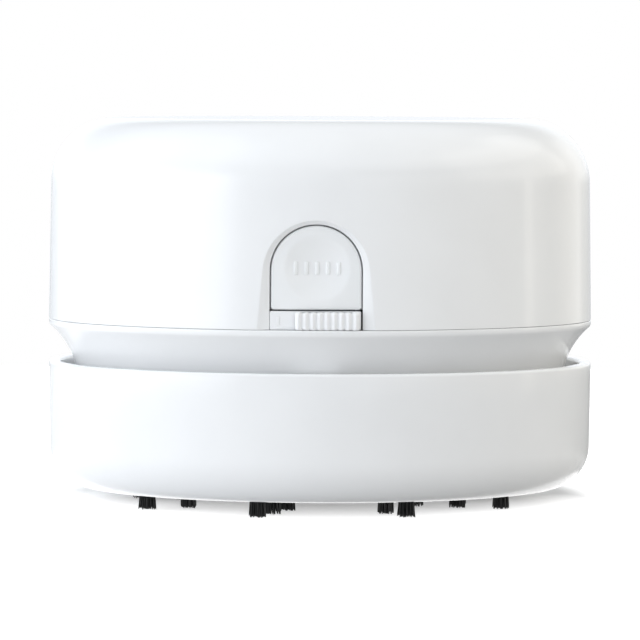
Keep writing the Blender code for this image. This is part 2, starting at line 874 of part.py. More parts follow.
def make_battery(side, word):
    """One cell on its tray: two saddles under it and a wall for the contact at each end."""
    x = side * cell_place
    inside = contact_inside
    wall_low = inside + gap
    wall_high = tray_end
    low = deck_top + gap
    base_top = low + tray_base
    half = tray_half_width
    base = block(f"battery_tray_{word}", (x - half, -wall_high, low), (x + half, wall_high, base_top))
    wall_half = half - gap
    for end in (-1, 1):
        ends = sorted((end * wall_low, end * wall_high - end * gap / 2))
        wall_top = cell_height + tray_wall_rise
        low_corner = (x - wall_half, ends[0], low + gap)
        join(base, block(f"tray_wall_{word}_{end}", low_corner, (x + wall_half, ends[1], wall_top), tools))
        middle = end * saddle_place
        low_corner = (x - wall_half, middle - saddle_length / 2, low + gap)
        high_corner = (x + wall_half, middle + saddle_length / 2, low + saddle_rise)
        join(base, block(f"saddle_{word}_{end}", low_corner, high_corner, tools))
    hollow = rod(f"cell_cutter_{word}", cell_radius + gap, -inside, inside, tools, steps=cell_steps)
    hollow.matrix_world = Matrix.Translation((x, 0, cell_height)) @ turn_to_front
    cut(base, hollow)
    finish(base, light_grey, 0.4)
    body_end = cell_length - cell_nub_length
    profile = [(0, cell_length), (cell_nub_radius, cell_length), (cell_nub_radius, body_end)]
    profile += [(cell_radius - cell_edge, body_end), (cell_radius, body_end - cell_edge)]
    profile += [(cell_radius, cell_edge), (cell_radius - cell_edge, 0), (0, 0)]
    cell = turned(f"battery_cell_{word}", profile, cell_steps)
    turn = turn_to_front if side < 0 else turn_to_back
    start = -side * (cell_length - nub_end)
    cell.matrix_world = Matrix.Translation((x, start, cell_height)) @ turn
    finish(cell, (0.10, 0.22, 0.42), 0.3)
    make_battery_spring(word, x, -side, start)


def make_battery_spring(word, x, end, cell_end):
    """A flat cone of curls between the cell's lower pole and its contact."""
    near = cell_end + end * (gap + battery_spring_wire)
    far = cell_end + end * (battery_spring_length - battery_spring_wire)
    count = battery_spring_curls * spring_points
    points = []
    for i in range(count + 1):
        share = i / count
        radius = battery_spring_narrow + (battery_spring_wide - battery_spring_narrow) * share
        angle = 2 * math.pi * battery_spring_curls * share
        y = near + (far - near) * share
        points.append((x + radius * math.cos(angle), y, cell_height + radius * math.sin(angle)))
    report_least_gap(f"battery spring {word}", points, battery_spring_wire, spring_points)
    finish(wire(f"battery_spring_{word}", points, battery_spring_wire), steel, 0.25, 1.0)


def report_least_gap(label, points, wire_radius, per_curl):
    """Print how near the tube comes to itself, points less than half a curl apart left out."""
    least = min(
        (Vector(a) - Vector(b)).length
        for i, a in enumerate(points)
        for b in points[i + per_curl // 2 + 1 :]
    )
    print(f"{label}: least gap to itself {least - 2 * wire_radius:.5f} m")


def make_contacts():
    """A bridge across both cells at the back, and a separate plate for each cell at the front."""
    low = cell_height - contact_half_height
    high = cell_height + contact_half_height
    inside = contact_inside
    face = inside - contact_thickness
    reach = cell_place + contact_half_width
    bridge = block("contact_bridge", (-reach, face, low), (reach, inside, high))
    finish(bridge, steel, 0.3, 1.0)
    for side, name in ((-1, "contact_plus"), (1, "contact_minus")):
        edges = sorted((side * (cell_place - contact_half_width), side * reach))
        contact = block(name, (edges[0], -inside, low), (edges[1], -face, high))
        finish(contact, steel, 0.3, 1.0)
    return high


def make_release_button():
    """The arched cap: its face follows the cover's round and has a shallow dish for the thumb."""
    half = window_half_width - gap
    outline = arch_outline(half, arch_centre, button_bottom)
    cap = plate("release_button", outline, button_back, outer_radius, turn_to_front)
    low = button_bottom - overrun
    face = rod("button_face", button_front, low, arch_centre + outer_radius, tools, steps=shell_steps * 2)
    combine(cap, face, "INTERSECT")
    lip_outline = arch_outline(half + button_lip, arch_centre, button_bottom)
    lip = plate("button_lip", lip_outline, button_back, button_back + button_lip_depth, turn_to_front, tools)
    join(cap, lip)
    inner_half = half - button_wall
    inner_outline = arch_outline(inner_half, arch_centre, button_bottom + button_wall)
    pocket_end = button_front - button_wall
    pocket = plate("button_pocket", inner_outline, button_back - overrun, pocket_end, turn_to_front, tools)
    cut(cap, pocket)
    curve_radius = (dish_radius**2 + dish_depth**2) / (2 * dish_depth)
    edge_angle = math.asin(dish_radius / curve_radius)
    centre = (0, curve_radius - dish_depth)
    lens = arc(centre, curve_radius, -math.pi / 2 + edge_angle * 1.25, -math.pi / 2, cove_steps)
    rim = lens[0][0]
    dish = turned("dish_cutter", [(0, overrun), (rim, overrun)] + lens, dish_steps, tools)
    dish.matrix_world = Matrix.Translation((0, -button_front, arch_centre + dish_rise)) @ turn_to_front
    cut(cap, dish)
    finish(cap, white, 0.2)


def make_latch_arm():
    """A stem behind the button, an arm down through the deck and a nose towards the cup's catch."""
    stem_low = button_bottom + latch_stem_rise
    stem_high = stem_low + latch_stem_height
    arm_back = -latch_arm_place
    arm_front = arm_back - latch_arm_thickness
    nose_end = -(cup_inside - catch_reach - gap)
    outline = [(-(button_back - gap), stem_low), (-(button_back - gap), stem_high)]
    outline += [(arm_back, stem_high), (arm_back, nose_bottom), (nose_end, nose_bottom)]
    outline += [(nose_end, nose_top - latch_nose_slope), (nose_end + latch_nose_slope, nose_top)]
    outline += [(arm_front, nose_top), (arm_front, stem_low)]
    arm = plate("latch_arm", outline, -latch_half_width, latch_half_width, turn_to_side)
    finish(arm, light_grey, 0.4)
    return stem_low, stem_high


def make_button_guide(stem_low, stem_high):
    """A plate on two legs over the switch, with the window that the latch's stem slides in."""
    low = deck_top + gap
    high = stem_high + guide_top_margin
    leg = guide_half_width - guide_leg_width
    under = button_bottom
    outline = [(guide_half_width, low), (guide_half_width, high), (-guide_half_width, high)]
    outline += [(-guide_half_width, low), (-leg, low), (-leg, under), (leg, under), (leg, low)]
    guide = plate("button_guide", outline, guide_back, guide_front, turn_to_front)
    half = latch_half_width + gap
    low_corner = (-half, -guide_front - overrun, stem_low - gap)
    window = block("stem_window", low_corner, (half, -guide_back + overrun, stem_high + gap), tools)
    cut(guide, window)
    finish(guide, light_grey, 0.4)


def make_button_spring(stem_low):
    """The spring that brings the button back, between its pocket and the guide."""
    start = -(button_front - button_wall - gap - button_spring_wire)
    end = -(guide_front + gap + button_spring_wire)
    count = int(button_spring_curls * spring_points)
    height = stem_low - button_spring_drop
    points = []
    for i in range(count + 1):
        angle = 2 * math.pi * i / spring_points
        x = button_spring_radius * math.cos(angle)
        z = height + button_spring_radius * math.sin(angle)
        points.append((x, start + (end - start) * i / count, z))
    report_least_gap("button spring", points, button_spring_wire, spring_points)
    finish(wire("button_spring", points, button_spring_wire), steel, 0.25, 1.0)


def make_switch():
    """The ribbed knob in its track, the slider behind it, the switch and its small board."""
    half = track_half_width
    low = seam
    slot_low = knob_offset - knob_travel - slider_half_width - slider_play
    slot_high = knob_offset + slider_half_width + slider_play
    slider_low = seam + slider_rise - slider_half_height
    slider_high = seam + slider_rise + slider_half_height
    track = block("switch_track", (-half, -track_front, low), (half, -track_back, low + track_height))
    low_corner = (slot_low, -track_front - overrun, slider_low - slider_play)
    high_corner = (slot_high, -track_back + overrun, slider_high + slider_play)
    cut(track, block("track_slot", low_corner, high_corner, tools))
    finish(track, white, 0.22)
    make_knob(low)
    board_low = deck_top + gap
    board_high = board_low + board_thickness
    front = board_front
    low_corner = (-board_half_width, -front, board_low)
    board = block("switch_board", low_corner, (board_half_width, -board_back, board_high))
    finish(board, (0.05, 0.22, 0.12), 0.5)
    body_low = board_high + gap
    low_corner = (-switch_half_width, -front, body_low)
    high_corner = (switch_half_width, -front + switch_depth, button_bottom - gap)
    switch = block("slide_switch", low_corner, high_corner)
    low_corner = (slot_low, -front - overrun, slider_low - slider_play)
    high_corner = (slot_high, -front + switch_slot_depth, slider_high + slider_play)
    cut(switch, block("switch_slot", low_corner, high_corner, tools))
    finish(switch, steel, 0.35, 1.0)
    low_corner = (knob_offset - slider_half_width, -knob_back + gap, slider_low)
    high_corner = (knob_offset + slider_half_width, -front + switch_slot_depth - gap, slider_high)
    finish(block("switch_slider", low_corner, high_corner), dark_grey, 0.4)
    return board_high


def make_knob(low):
    """The knob: a flat slab with a row of upright round ribs on its face."""
    pitch = 2 * knob_half_width / knob_rib_count
    front = -knob_back - knob_thickness
    outline = [(knob_half_width, -knob_back), (-knob_half_width, -knob_back)]
    outline = [(knob_offset + x, y) for x, y in outline]
    for rib in range(knob_rib_count):
        middle = knob_offset - knob_half_width + pitch * (rib + 0.5)
        for k in range(knob_rib_steps + 1):
            if k == 0 and rib > 0:
                continue
            angle = math.pi - math.pi * k / knob_rib_steps
            outline.append((middle + pitch / 2 * math.cos(angle), front - knob_rib_rise * math.sin(angle)))
    knob = plate("switch_knob", outline, low, low + track_height - gap / 2)
    finish(knob, white, 0.22)


def make_leads(board_high, contact_top, terminal_top):
    """Three leads: contact to motor, contact to board and board to motor."""
    contact_x = cell_place - contact_half_width + lead_lift
    contact_y = -nub_end - gap
    start = contact_top + gap
    end = terminal_top + gap
    roof = cover_top - cover_wall - lead_lift
    board_y = -board_back - lead_radius - gap
    board_start = board_high + gap
    red = [
        (-contact_x, contact_y, start),
        (-contact_x, contact_y, start + 2 * lead_lift),
        (-contact_x + lead_lift, contact_y * 0.8, cell_height + cell_radius + 2 * lead_lift),
        (-terminal_place - 2 * lead_lift, contact_y * 0.4, roof - 2 * lead_lift),
        (-terminal_place, -2 * lead_lift, roof),
        (-terminal_place, 0, end),
    ]
    black_route = [
        (contact_x, contact_y, start),
        (contact_x, contact_y, start + 2 * lead_lift),
        (contact_x - 4 * lead_lift, contact_y - 3 * lead_lift, start + lead_lift),
        (lead_place + 2 * lead_lift, board_y + lead_lift, (start + board_start) / 2),
        (lead_place, board_y, board_start + 2 * lead_lift),
        (lead_place, board_y, board_start),
    ]
    blue = [
        (-lead_place, board_y, board_start),
        (-lead_place, board_y, board_start + 2 * lead_lift),
        (-lead_place, board_y + 2 * lead_lift, cell_height + cell_radius),
        (0, contact_y * 0.75, roof - 2 * lead_lift),
        (terminal_place, -2 * lead_lift, roof),
        (terminal_place, 0, end),
    ]
    for name, route, colour in (
        ("lead_red", red, (0.55, 0.03, 0.02)),
        ("lead_black", black_route, black),
        ("lead_blue", blue, (0.03, 0.10, 0.45)),
    ):
        finish(wire(name, smooth_route(route, lead_points), lead_radius), colour, 0.4)


strap_boss_place = motor_ring_inside + motor_ring_wall + gap + strap_thickness + strap_foot / 2

make_top_cover()
make_neck_housing()
make_dust_cup()
for row in range(row_count):
    make_brush_row(row)
make_seal()
make_fan_cover()
make_filter()
make_impeller()
motor_terminal_top = make_motor()
make_battery(-1, "left")
make_battery(1, "right")
contact_high = make_contacts()
make_release_button()
latch_stem_low, latch_stem_high = make_latch_arm()
make_button_guide(latch_stem_low, latch_stem_high)
make_button_spring(latch_stem_low)
board_top = make_switch()
make_leads(board_top, contact_high, motor_terminal_top)
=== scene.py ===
import math
from types import SimpleNamespace

import bmesh
import bpy
import numpy as np
from mathutils import Matrix, Vector


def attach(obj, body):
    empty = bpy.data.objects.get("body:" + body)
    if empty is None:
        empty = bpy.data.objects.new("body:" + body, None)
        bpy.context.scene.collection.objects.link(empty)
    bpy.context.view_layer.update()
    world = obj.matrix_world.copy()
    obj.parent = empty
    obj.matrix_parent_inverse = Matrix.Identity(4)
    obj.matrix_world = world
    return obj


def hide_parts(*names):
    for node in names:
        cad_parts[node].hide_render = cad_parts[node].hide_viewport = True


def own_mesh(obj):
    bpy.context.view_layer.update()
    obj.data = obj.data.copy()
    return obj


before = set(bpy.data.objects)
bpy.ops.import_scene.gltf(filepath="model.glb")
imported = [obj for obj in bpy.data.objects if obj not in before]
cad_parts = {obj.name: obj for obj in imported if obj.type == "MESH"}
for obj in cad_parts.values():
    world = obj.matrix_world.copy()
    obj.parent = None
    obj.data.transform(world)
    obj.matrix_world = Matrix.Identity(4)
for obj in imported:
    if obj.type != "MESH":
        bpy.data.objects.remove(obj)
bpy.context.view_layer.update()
mm = 0.001
fullTurn = 2 * math.pi
quarter = math.pi / 2
print("frame loaded")


def values(settings):
    # a dictionary's values, to be read by name
    return SimpleNamespace(**settings)


# Meshes from arrays

def gridQuads(rowCount, columnCount, wrap=False):
    # four corner numbers of every cell in a grid of points counted row by row
    last = columnCount if wrap else columnCount - 1
    row, column = np.meshgrid(np.arange(rowCount - 1), np.arange(last), indexing="ij")
    beside = (column + 1) % columnCount
    corners = [row * columnCount + column, row * columnCount + beside,
               (row + 1) * columnCount + beside, (row + 1) * columnCount + column]
    return np.stack(corners, -1)


def sheet(points, wrap=False, keep=None):
    # a grid of points (rows, columns, 3) in mm with its cells, less those that keep leaves out
    points = np.asarray(points, float)
    quads = gridQuads(points.shape[0], points.shape[1], wrap)
    quads = quads.reshape(-1, 4) if keep is None else quads[keep]
    return points.reshape(-1, 3), quads


def makeMesh(sheets, weld=0.0005):
    # joins the sheets, welds points nearer than weld (in mm) and turns the faces outwards
    points, faces, start = [], [], 0
    for sheetPoints, sheetFaces in sheets:
        points.append(sheetPoints)
        faces.append(sheetFaces + start)
        start += len(sheetPoints)
    mesh = bpy.data.meshes.new("shape")
    mesh.from_pydata((np.concatenate(points) * mm).tolist(), [], np.concatenate(faces).tolist())
    shape = bmesh.new()
    shape.from_mesh(mesh)
    bmesh.ops.remove_doubles(shape, verts=shape.verts, dist=weld * mm)
    bmesh.ops.recalc_face_normals(shape, faces=shape.faces)
    shape.to_mesh(mesh)
    shape.free()
    return mesh


# weld for pieces made of many thin parts, in mm
fineWeld = 0.0002


def asMesh(shape):
    # a mesh as it is, or the mesh of a list of sheets
    return shape if isinstance(shape, bpy.types.Mesh) else makeMesh(shape)


def addObject(name, data):
    thing = bpy.data.objects.new(name, data)
    bpy.context.scene.collection.objects.link(thing)
    return thing


def addPiece(name, shape, look, stands=(), sharp=35, bevel=None, body="upper_unit"):
    # puts a finished piece on its body, in place of the nodes it stands for. A look is a material
    # and its slot (the slot is not used), sharp the angle from which edges show, bevel the width of
    # their rounding in mm
    mesh, (material, slot) = asMesh(shape), look
    mesh.name = name
    piece = addObject(name, mesh)
    mesh.materials.clear()
    mesh.materials.append(material)
    mesh.shade_smooth()
    mesh.set_sharp_from_angle(angle=math.radians(sharp))
    if bevel:
        edge = piece.modifiers.new("edges", "BEVEL")
        edge.width = bevel * mm
        edge.segments = 2
        edge.limit_method = "ANGLE"
        edge.angle_limit = math.radians(sharp)
        edge.harden_normals = True
        mesh.shade_smooth()
    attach(piece, body)
    if stands:
        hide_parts(*stands)
    return piece


def carve(shape, cutters, operation="DIFFERENCE"):
    # cuts the cutters out of a shape, or joins them to it, and returns the new mesh
    work = addObject("work", asMesh(shape))
    tools = [addObject("tool", makeMesh([cutter])) for cutter in cutters]
    for tool in tools:
        step = work.modifiers.new("step", "BOOLEAN")
        step.object = tool
        step.operation = operation
        step.solver = "EXACT"
    bpy.context.view_layer.update()
    ready = work.evaluated_get(bpy.context.evaluated_depsgraph_get())
    result = bpy.data.meshes.new_from_object(ready)
    for thing in [work] + tools:
        bpy.data.objects.remove(thing, do_unlink=True)
    return result


def roundedPath(corners, radii, steps=6):
    # a closed outline whose corners are tangent arcs: each arc's points turn evenly from the
    # incoming side to the outgoing side about a centre on the corner's bisector
    corners = np.asarray(corners, float)
    radii = np.broadcast_to(np.asarray(radii, float), len(corners))
    back = np.roll(corners, 1, 0) - corners
    ahead = np.roll(corners, -1, 0) - corners
    back = back / np.linalg.norm(back, axis=1, keepdims=True)
    ahead = ahead / np.linalg.norm(ahead, axis=1, keepdims=True)
    half = np.arccos(np.clip((back * ahead).sum(1), -1, 1)) / 2
    middle = back + ahead
    length = np.linalg.norm(middle, axis=1, keepdims=True)
    middle = np.where(length > 1e-6, middle / np.maximum(length, 1e-9), 0)
    centre = corners + middle * (radii / np.sin(half))[:, None]
    first = corners + back * (radii / np.tan(half))[:, None] - centre
    last = corners + ahead * (radii / np.tan(half))[:, None] - centre
    sweep = np.maximum(math.pi - 2 * half, 1e-6)[:, None, None]
    share = np.linspace(0, 1, steps + 1)[None, :, None]
    blend = first[:, None] * np.sin((1 - share) * sweep) + last[:, None] * np.sin(share * sweep)
    path = (centre[:, None] + blend / np.sin(sweep)).reshape(-1, 2)
    far = np.linalg.norm(path - np.roll(path, 1, 0), axis=1) > 1e-5
    return path[far]


def turnedSheet(profile, steps=128, closed=True, about=(0, 0), side=None):
    # a profile of radius and height carried a full turn round the z axis, or round an axis
    # through "about" along y where side is "y"
    profile = np.asarray(profile, float)
    if closed:
        profile = np.concatenate([profile, profile[:1]])
    angle = np.arange(steps) * fullTurn / steps - quarter
    radius, height = profile[:, :1], np.repeat(profile[:, 1:], steps, 1)
    across, up = radius * np.cos(angle), radius * np.sin(angle)
    if side == "y":
        return sheet(np.stack([across + about[0], height, up + about[1]], -1), wrap=True)
    return sheet(np.stack([across + about[0], up + about[1], height], -1), wrap=True)


def stackedSheet(loops):
    # closed outlines (rows, points, 3) one after the other, the first and last drawn to a point
    loops = np.asarray(loops, float)
    ends = [np.repeat(loops[i].mean(0)[None], loops.shape[1], 0)[None] for i in (0, -1)]
    return sheet(np.concatenate([ends[0], loops, ends[1]]), wrap=True)


def ringSheet(loops):
    # closed outlines one after the other, the last joined to the first
    loops = np.asarray(loops, float)
    return sheet(np.concatenate([loops, loops[:1]]), wrap=True)


def boxSheet(low, high, turn=0.0):
    # a plain box between two corners, turned about z
    low, high = np.asarray(low, float), np.asarray(high, float)
    flat = np.array([[low[0], low[1]], [high[0], low[1]], [high[0], high[1]], [low[0], high[1]]])
    cos, sin = math.cos(turn), math.sin(turn)
    flat = flat @ np.array([[cos, sin], [-sin, cos]])
    loops = [np.column_stack([flat, np.full(4, height)]) for height in (low[2], high[2])]
    return stackedSheet(loops)


def rodSheet(radius, low, high, spot=(0, 0), steps=32):
    # an upright cylinder
    profile = [(0, low), (radius, low), (radius, high), (0, high)]
    return turnedSheet(profile, steps, closed=False, about=spot)


def tubeSheet(route, radius, sides=12, ends=True):
    # a round section carried along a route: each section stands square to the route's direction
    # and is turned as little as possible from the one before
    route = np.asarray(route, float)
    ahead = np.gradient(route, axis=0)
    ahead /= np.linalg.norm(ahead, axis=1, keepdims=True)
    frames, side = [], np.cross(ahead[0], [0.3, 0.5, 0.8])
    for direction in ahead:
        side = side - direction * (side @ direction)
        side = side / np.linalg.norm(side)
        frames.append((side, np.cross(direction, side)))
    frames = np.array(frames)
    angle = np.arange(sides) * fullTurn / sides
    radius = np.broadcast_to(np.asarray(radius, float), len(route))[:, None, None]
    loops = route[:, None] + radius * (frames[:, 0, None] * np.cos(angle)[None, :, None]
                                       + frames[:, 1, None] * np.sin(angle)[None, :, None])
    return stackedSheet(loops) if ends else sheet(loops, wrap=True)


def smoothRoute(marks, count):
    # points of a smooth curve through the marks: a cubic between each two, with the slope of
    # their neighbours
    marks = np.asarray(marks, float)
    ends = np.concatenate([2 * marks[:1] - marks[1:2], marks, 2 * marks[-1:] - marks[-2:-1]])
    along = np.linspace(0, len(marks) - 1, count)
    k = np.minimum(along.astype(int), len(marks) - 2)
    t = (along - k)[:, None]
    a, b, c, d = ends[k], ends[k + 1], ends[k + 2], ends[k + 3]
    return b + ((c - a) * t + (2 * a - 5 * b + 4 * c - d) * t**2 + (3 * b - a - 3 * c + d) * t**3) / 2


# Materials

def linear(code):
    # sRGB hex to linear colour
    shares = [int(code[i:i + 2], 16) / 255 for i in (0, 2, 4)]
    return tuple(((c + 0.055) / 1.055) ** 2.4 if c > 0.04045 else c / 12.92 for c in shares)


def addNode(tree, kind, settings=None, output=0):
    # adds a node and returns one of its outputs. Sockets among the settings are linked, other
    # values are set on the node's inputs, by name or number, or on the node itself
    node = tree.nodes.new(kind)
    for key, value in (settings or {}).items():
        if isinstance(value, bpy.types.NodeSocket):
            tree.links.new(value, node.inputs[key])
        elif isinstance(key, int) or key in node.inputs:
            node.inputs[key].default_value = value
        else:
            setattr(node, key, value)
    return node.outputs[output] if len(node.outputs) else None


def emptyTree(owner):
    # the cleared nodes of a material or world, and the place that they are asked for
    owner.use_nodes = True
    owner.node_tree.nodes.clear()
    return owner.node_tree, addNode(owner.node_tree, "ShaderNodeTexCoord", None, "Object")


def calc(tree, operation, *values):
    # one step of arithmetic on sockets and numbers
    return addNode(tree, "ShaderNodeMath", {"operation": operation, **dict(enumerate(values))})


def ramp(tree, value, low, high, first=0.0, last=1.0, kind="LINEAR"):
    # carries low to high over to first to last, and holds the ends beyond them
    return addNode(tree, "ShaderNodeMapRange",
                   {"interpolation_type": kind, "Value": value, "From Min": low, "From Max": high,
                    "To Min": first, "To Max": last})


def mixColours(tree, share, first, second):
    return addNode(tree, "ShaderNodeMix", {"data_type": "RGBA", 0: share, 6: (*linear(first), 1),
                                           7: (*linear(second), 1)}, 2)


def grain(tree, place, size, detail=2.0, stretch=None):
    # noise whose blobs are about size mm wide, drawn out along an axis by stretch
    if stretch:
        place = addNode(tree, "ShaderNodeMapping", {"Vector": place, "Scale": stretch})
    return addNode(tree, "ShaderNodeTexNoise",
                   {"Vector": place, "Scale": 1 / (size * mm), "Detail": detail}, "Fac")


def weave(tree, place, thread):
    # the product of two wave patterns across one another, with threads of a width in mm
    scale = 0.32 / (thread * mm)
    waves = [addNode(tree, "ShaderNodeTexWave",
                     {"bands_direction": axis, "Scale": scale, "Vector": place}, "Fac")
             for axis in "XY"]
    return calc(tree, "MULTIPLY", *waves)


def makeLook(name, slot, settings, colours, gloss, relief=None):
    # a material and its slot. Two close colours, the range of roughness and the relief (strength
    # and depth in mm) each follow a noise, given as the values for grain. Noise runs from about
    # 0.3 to 0.7, so it is spread first. A thread's width in place of a noise means a weave
    material = bpy.data.materials.new(name)
    tree, place = emptyTree(material)

    def pattern(kind):
        return grain(tree, place, *kind) if isinstance(kind, tuple) else weave(tree, place, kind)

    cloud = pattern(colours[2])
    share = ramp(tree, cloud, 0.3, 0.7) if isinstance(colours[2], tuple) else cloud
    settings = {**settings, "Base Color": mixColours(tree, share, *colours[:2]),
                "Roughness": ramp(tree, pattern(gloss[2]), 0.3, 0.7, *gloss[:2])}
    if relief:
        settings["Normal"] = addNode(tree, "ShaderNodeBump", {
            "Strength": relief[0], "Distance": relief[1] * mm, "Height": pattern(relief[2])})
    shader = addNode(tree, "ShaderNodeBsdfPrincipled", settings)
    addNode(tree, "ShaderNodeOutputMaterial", {"Surface": shader})
    return material, slot


def mouldedPlastic(name, slot, pale, deep, roughness, ripple=0.25, patch=9.0, ior=1.53):
    # injection-moulded plastic: an even colour that shifts very little over some millimetres,
    # a fine ripple in the gloss where the melt cooled, and faint handling haze
    return makeLook(name, slot, {"IOR": ior}, (pale, deep, (patch,)),
                    (roughness * 0.94, roughness * 1.06, (patch / 3, 4.0)), (ripple, 0.004, (0.9,)))


def rolledMetal(name, slot, pale, deep, roughness, stretch, size=0.25):
    # bare or plated sheet: fine drawn lines along one axis in its gloss, soft clouds in its tone
    drawn = (size, 3.0, stretch)
    return makeLook(name, slot, {"Metallic": 1.0}, (pale, deep, (5.0,)),
                    (roughness * 0.75, roughness * 1.35, drawn), (0.3, 0.006, drawn))


# gloss ABS, moulded in a polished tool: clean white, sharp but slightly soft reflections
glossAbs = mouldedPlastic("glossWhiteAbs", "shell_white", "FAFBFC", "F8F9FA", 0.1)
# the button's ABS comes from its own tool, a touch less glossy
buttonAbs = mouldedPlastic("buttonWhiteAbs", "shell_white", "FAFBFC", "F8FAFB", 0.2)
# acetal (POM) of the slide knob: purer white, waxy satin
knobPom = mouldedPlastic("satinWhitePom", "shell_white", "FBFCFD", "F9FAFB", 0.33, 0.15, 4.0, 1.48)
# inner frames of light grey ABS, as moulded in an eroded tool: satin
innerAbs = mouldedPlastic("satinGreyAbs", "inner_grey", "C9CCCF", "BCC0C4", 0.45, 0.5, 6.0)
# glass-filled nylon of fan and end cap: dark, dull satin
darkNylon = mouldedPlastic("darkGlassNylon", "dark_plastic", "2B2C2F", "222326", 0.48, 0.6, 3.0)
# zinc-plated steel of the motor's can: cool bright metal
zincSteel = rolledMetal("zincPlatedSteel", "motor_metal", "C6C9CB", "AEB2B5", 0.3, (1, 1, 0.08))
# stainless spring strip: drawn lines along x
stripSteel = rolledMetal("stainlessStrip", "spring_steel", "CDCFD0", "B8BBBD", 0.26, (0.08, 1, 1), 0.2)
# nickel-plated wire and screws
nickelWire = rolledMetal("nickelPlatedSteel", "spring_steel", "D2D0C8", "BDBAB0", 0.2, (1, 1, 1), 0.5)
# the cells' cans are of the same steel
cellSteel = (nickelWire[0], "cell_jacket")
# tinned brass tags
brassTag = rolledMetal("tinnedBrass", "terminal_brass", "D8BE7C", "C2A45F", 0.3, (1, 1, 0.1), 0.2)
# nickel-plated contact sheet: bright, with lines from rolling along x
contactPlate = rolledMetal("nickelPlatedSheet", "spring_steel", "D5D3CD", "CAC8C1", 0.24,
                           (0.05, 1, 1), 0.1)
# lead-free solder: bright, slightly frosted where it froze
solderTin = rolledMetal("frozenSolder", "spring_steel", "C9CACC", "A9ABAE", 0.32, (1, 1, 1), 0.3)
# printed shrink film of the cells: smooth satin over the steel, slate blue with a pale end
cellFilm = mouldedPlastic("slateShrinkFilm", "cell_jacket", "3A546D", "375068", 0.24, 0.08, 9.0, 1.57)
cellBand = mouldedPlastic("paleShrinkFilm", "cell_jacket", "C9CED2", "C4C9CE", 0.26, 0.08, 9.0, 1.57)
# extruded PVC of the leads: even colour, satin, slight waves along its length
redPvc, blackPvc, bluePvc = [
    mouldedPlastic(f"{word}Pvc", f"wire_{word}", pale, deep, 0.4, 0.4, 2.5, 1.54)
    for word, pale, deep in (("red", "B3201B", "9E1915"), ("black", "1D1D1F", "151516"),
                             ("blue", "20479C", "1A3B86"))]
# black nylon 6 filament: deep black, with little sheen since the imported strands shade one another
bristleNylon = makeLook("blackNylonFilament", "bristle", {"IOR": 1.53, "Specular IOR Level": 0.3},
                        ("070708", "141416", (0.5,)), (0.32, 0.5, (0.3,)))
# moulded silicone: matt grey, fine tool texture
sealRubber = makeLook("greySiliconeRubber", "seal", {"IOR": 1.41}, ("4A4C50", "3E4044", (2.0,)),
                      (0.55, 0.75, (0.4,)), (0.4, 0.02, (0.25,)))
# needled polyester felt: soft off-white fibres of about 0.15 mm in a random mat
fibres = (0.35, 6.0)
needledFelt = makeLook("needledFelt", "felt", {"Sheen Weight": 0.4}, ("E4E5E6", "C4C7CA", fibres),
                       (0.85, 0.98, fibres), (0.8, 0.12, fibres))
# glass-epoxy board with green solder resist: the weave shows faintly, 0.5 mm a thread
boardLaminate = makeLook("greenSolderResist", "board_green", {"IOR": 1.5}, ("1D5A35", "256B41", 0.5),
                         (0.25, 0.4, (1.5,)), (0.3, 0.01, 0.5))
print("materials made")


# Domed cover

coverSettings = dict(
    seam=29.24, top=60.6, footRadius=42.5, headRadius=42.2, shoulder=10.0, wall=1.8, columns=192,
    patchColumns=10, patchTop=48.65, patchRows=20, windowHalf=7.0, archCentre=38.1,
    windowRadius=41.5, edge=0.12, flareSide=1.06, flareFoot=1.88, flareTop=0.6, crease=0.06,
)


def coverRadius(height):
    # the wall leans in evenly from its foot to the start of the shoulder
    s = values(coverSettings)
    start = s.top - s.shoulder
    share = (height - s.seam) / (start - s.seam)
    return s.footRadius + (s.headRadius - s.footRadius) * share


def coverProfile(inset):
    # wall rows, a quarter circle for the shoulder and rows of shrinking radius over the flat top
    s = values(coverSettings)
    start = s.top - s.shoulder
    wallRows = np.linspace(s.seam, s.patchTop, s.patchRows + 1)
    neckRows = np.array([(s.patchTop + start) / 2])
    heights = np.concatenate([wallRows, neckRows])
    wall = np.column_stack([coverRadius(heights) - inset, heights])
    turn = np.linspace(0, quarter, 21)
    centre = s.headRadius - s.shoulder
    bend = s.shoulder - inset
    shoulder = np.column_stack([centre + bend * np.cos(turn), start + bend * np.sin(turn)])
    flat = centre * (1 - np.linspace(0, 1, 13)[1:] ** 0.8)
    return np.concatenate([wall, shoulder, np.column_stack([flat, np.full(12, s.top - inset)])])


def coverPoint(angle, height, radius):
    # a point at an angle from the front, towards +x
    return np.stack([radius * np.sin(angle), -radius * np.cos(angle), height + 0 * angle], -1)


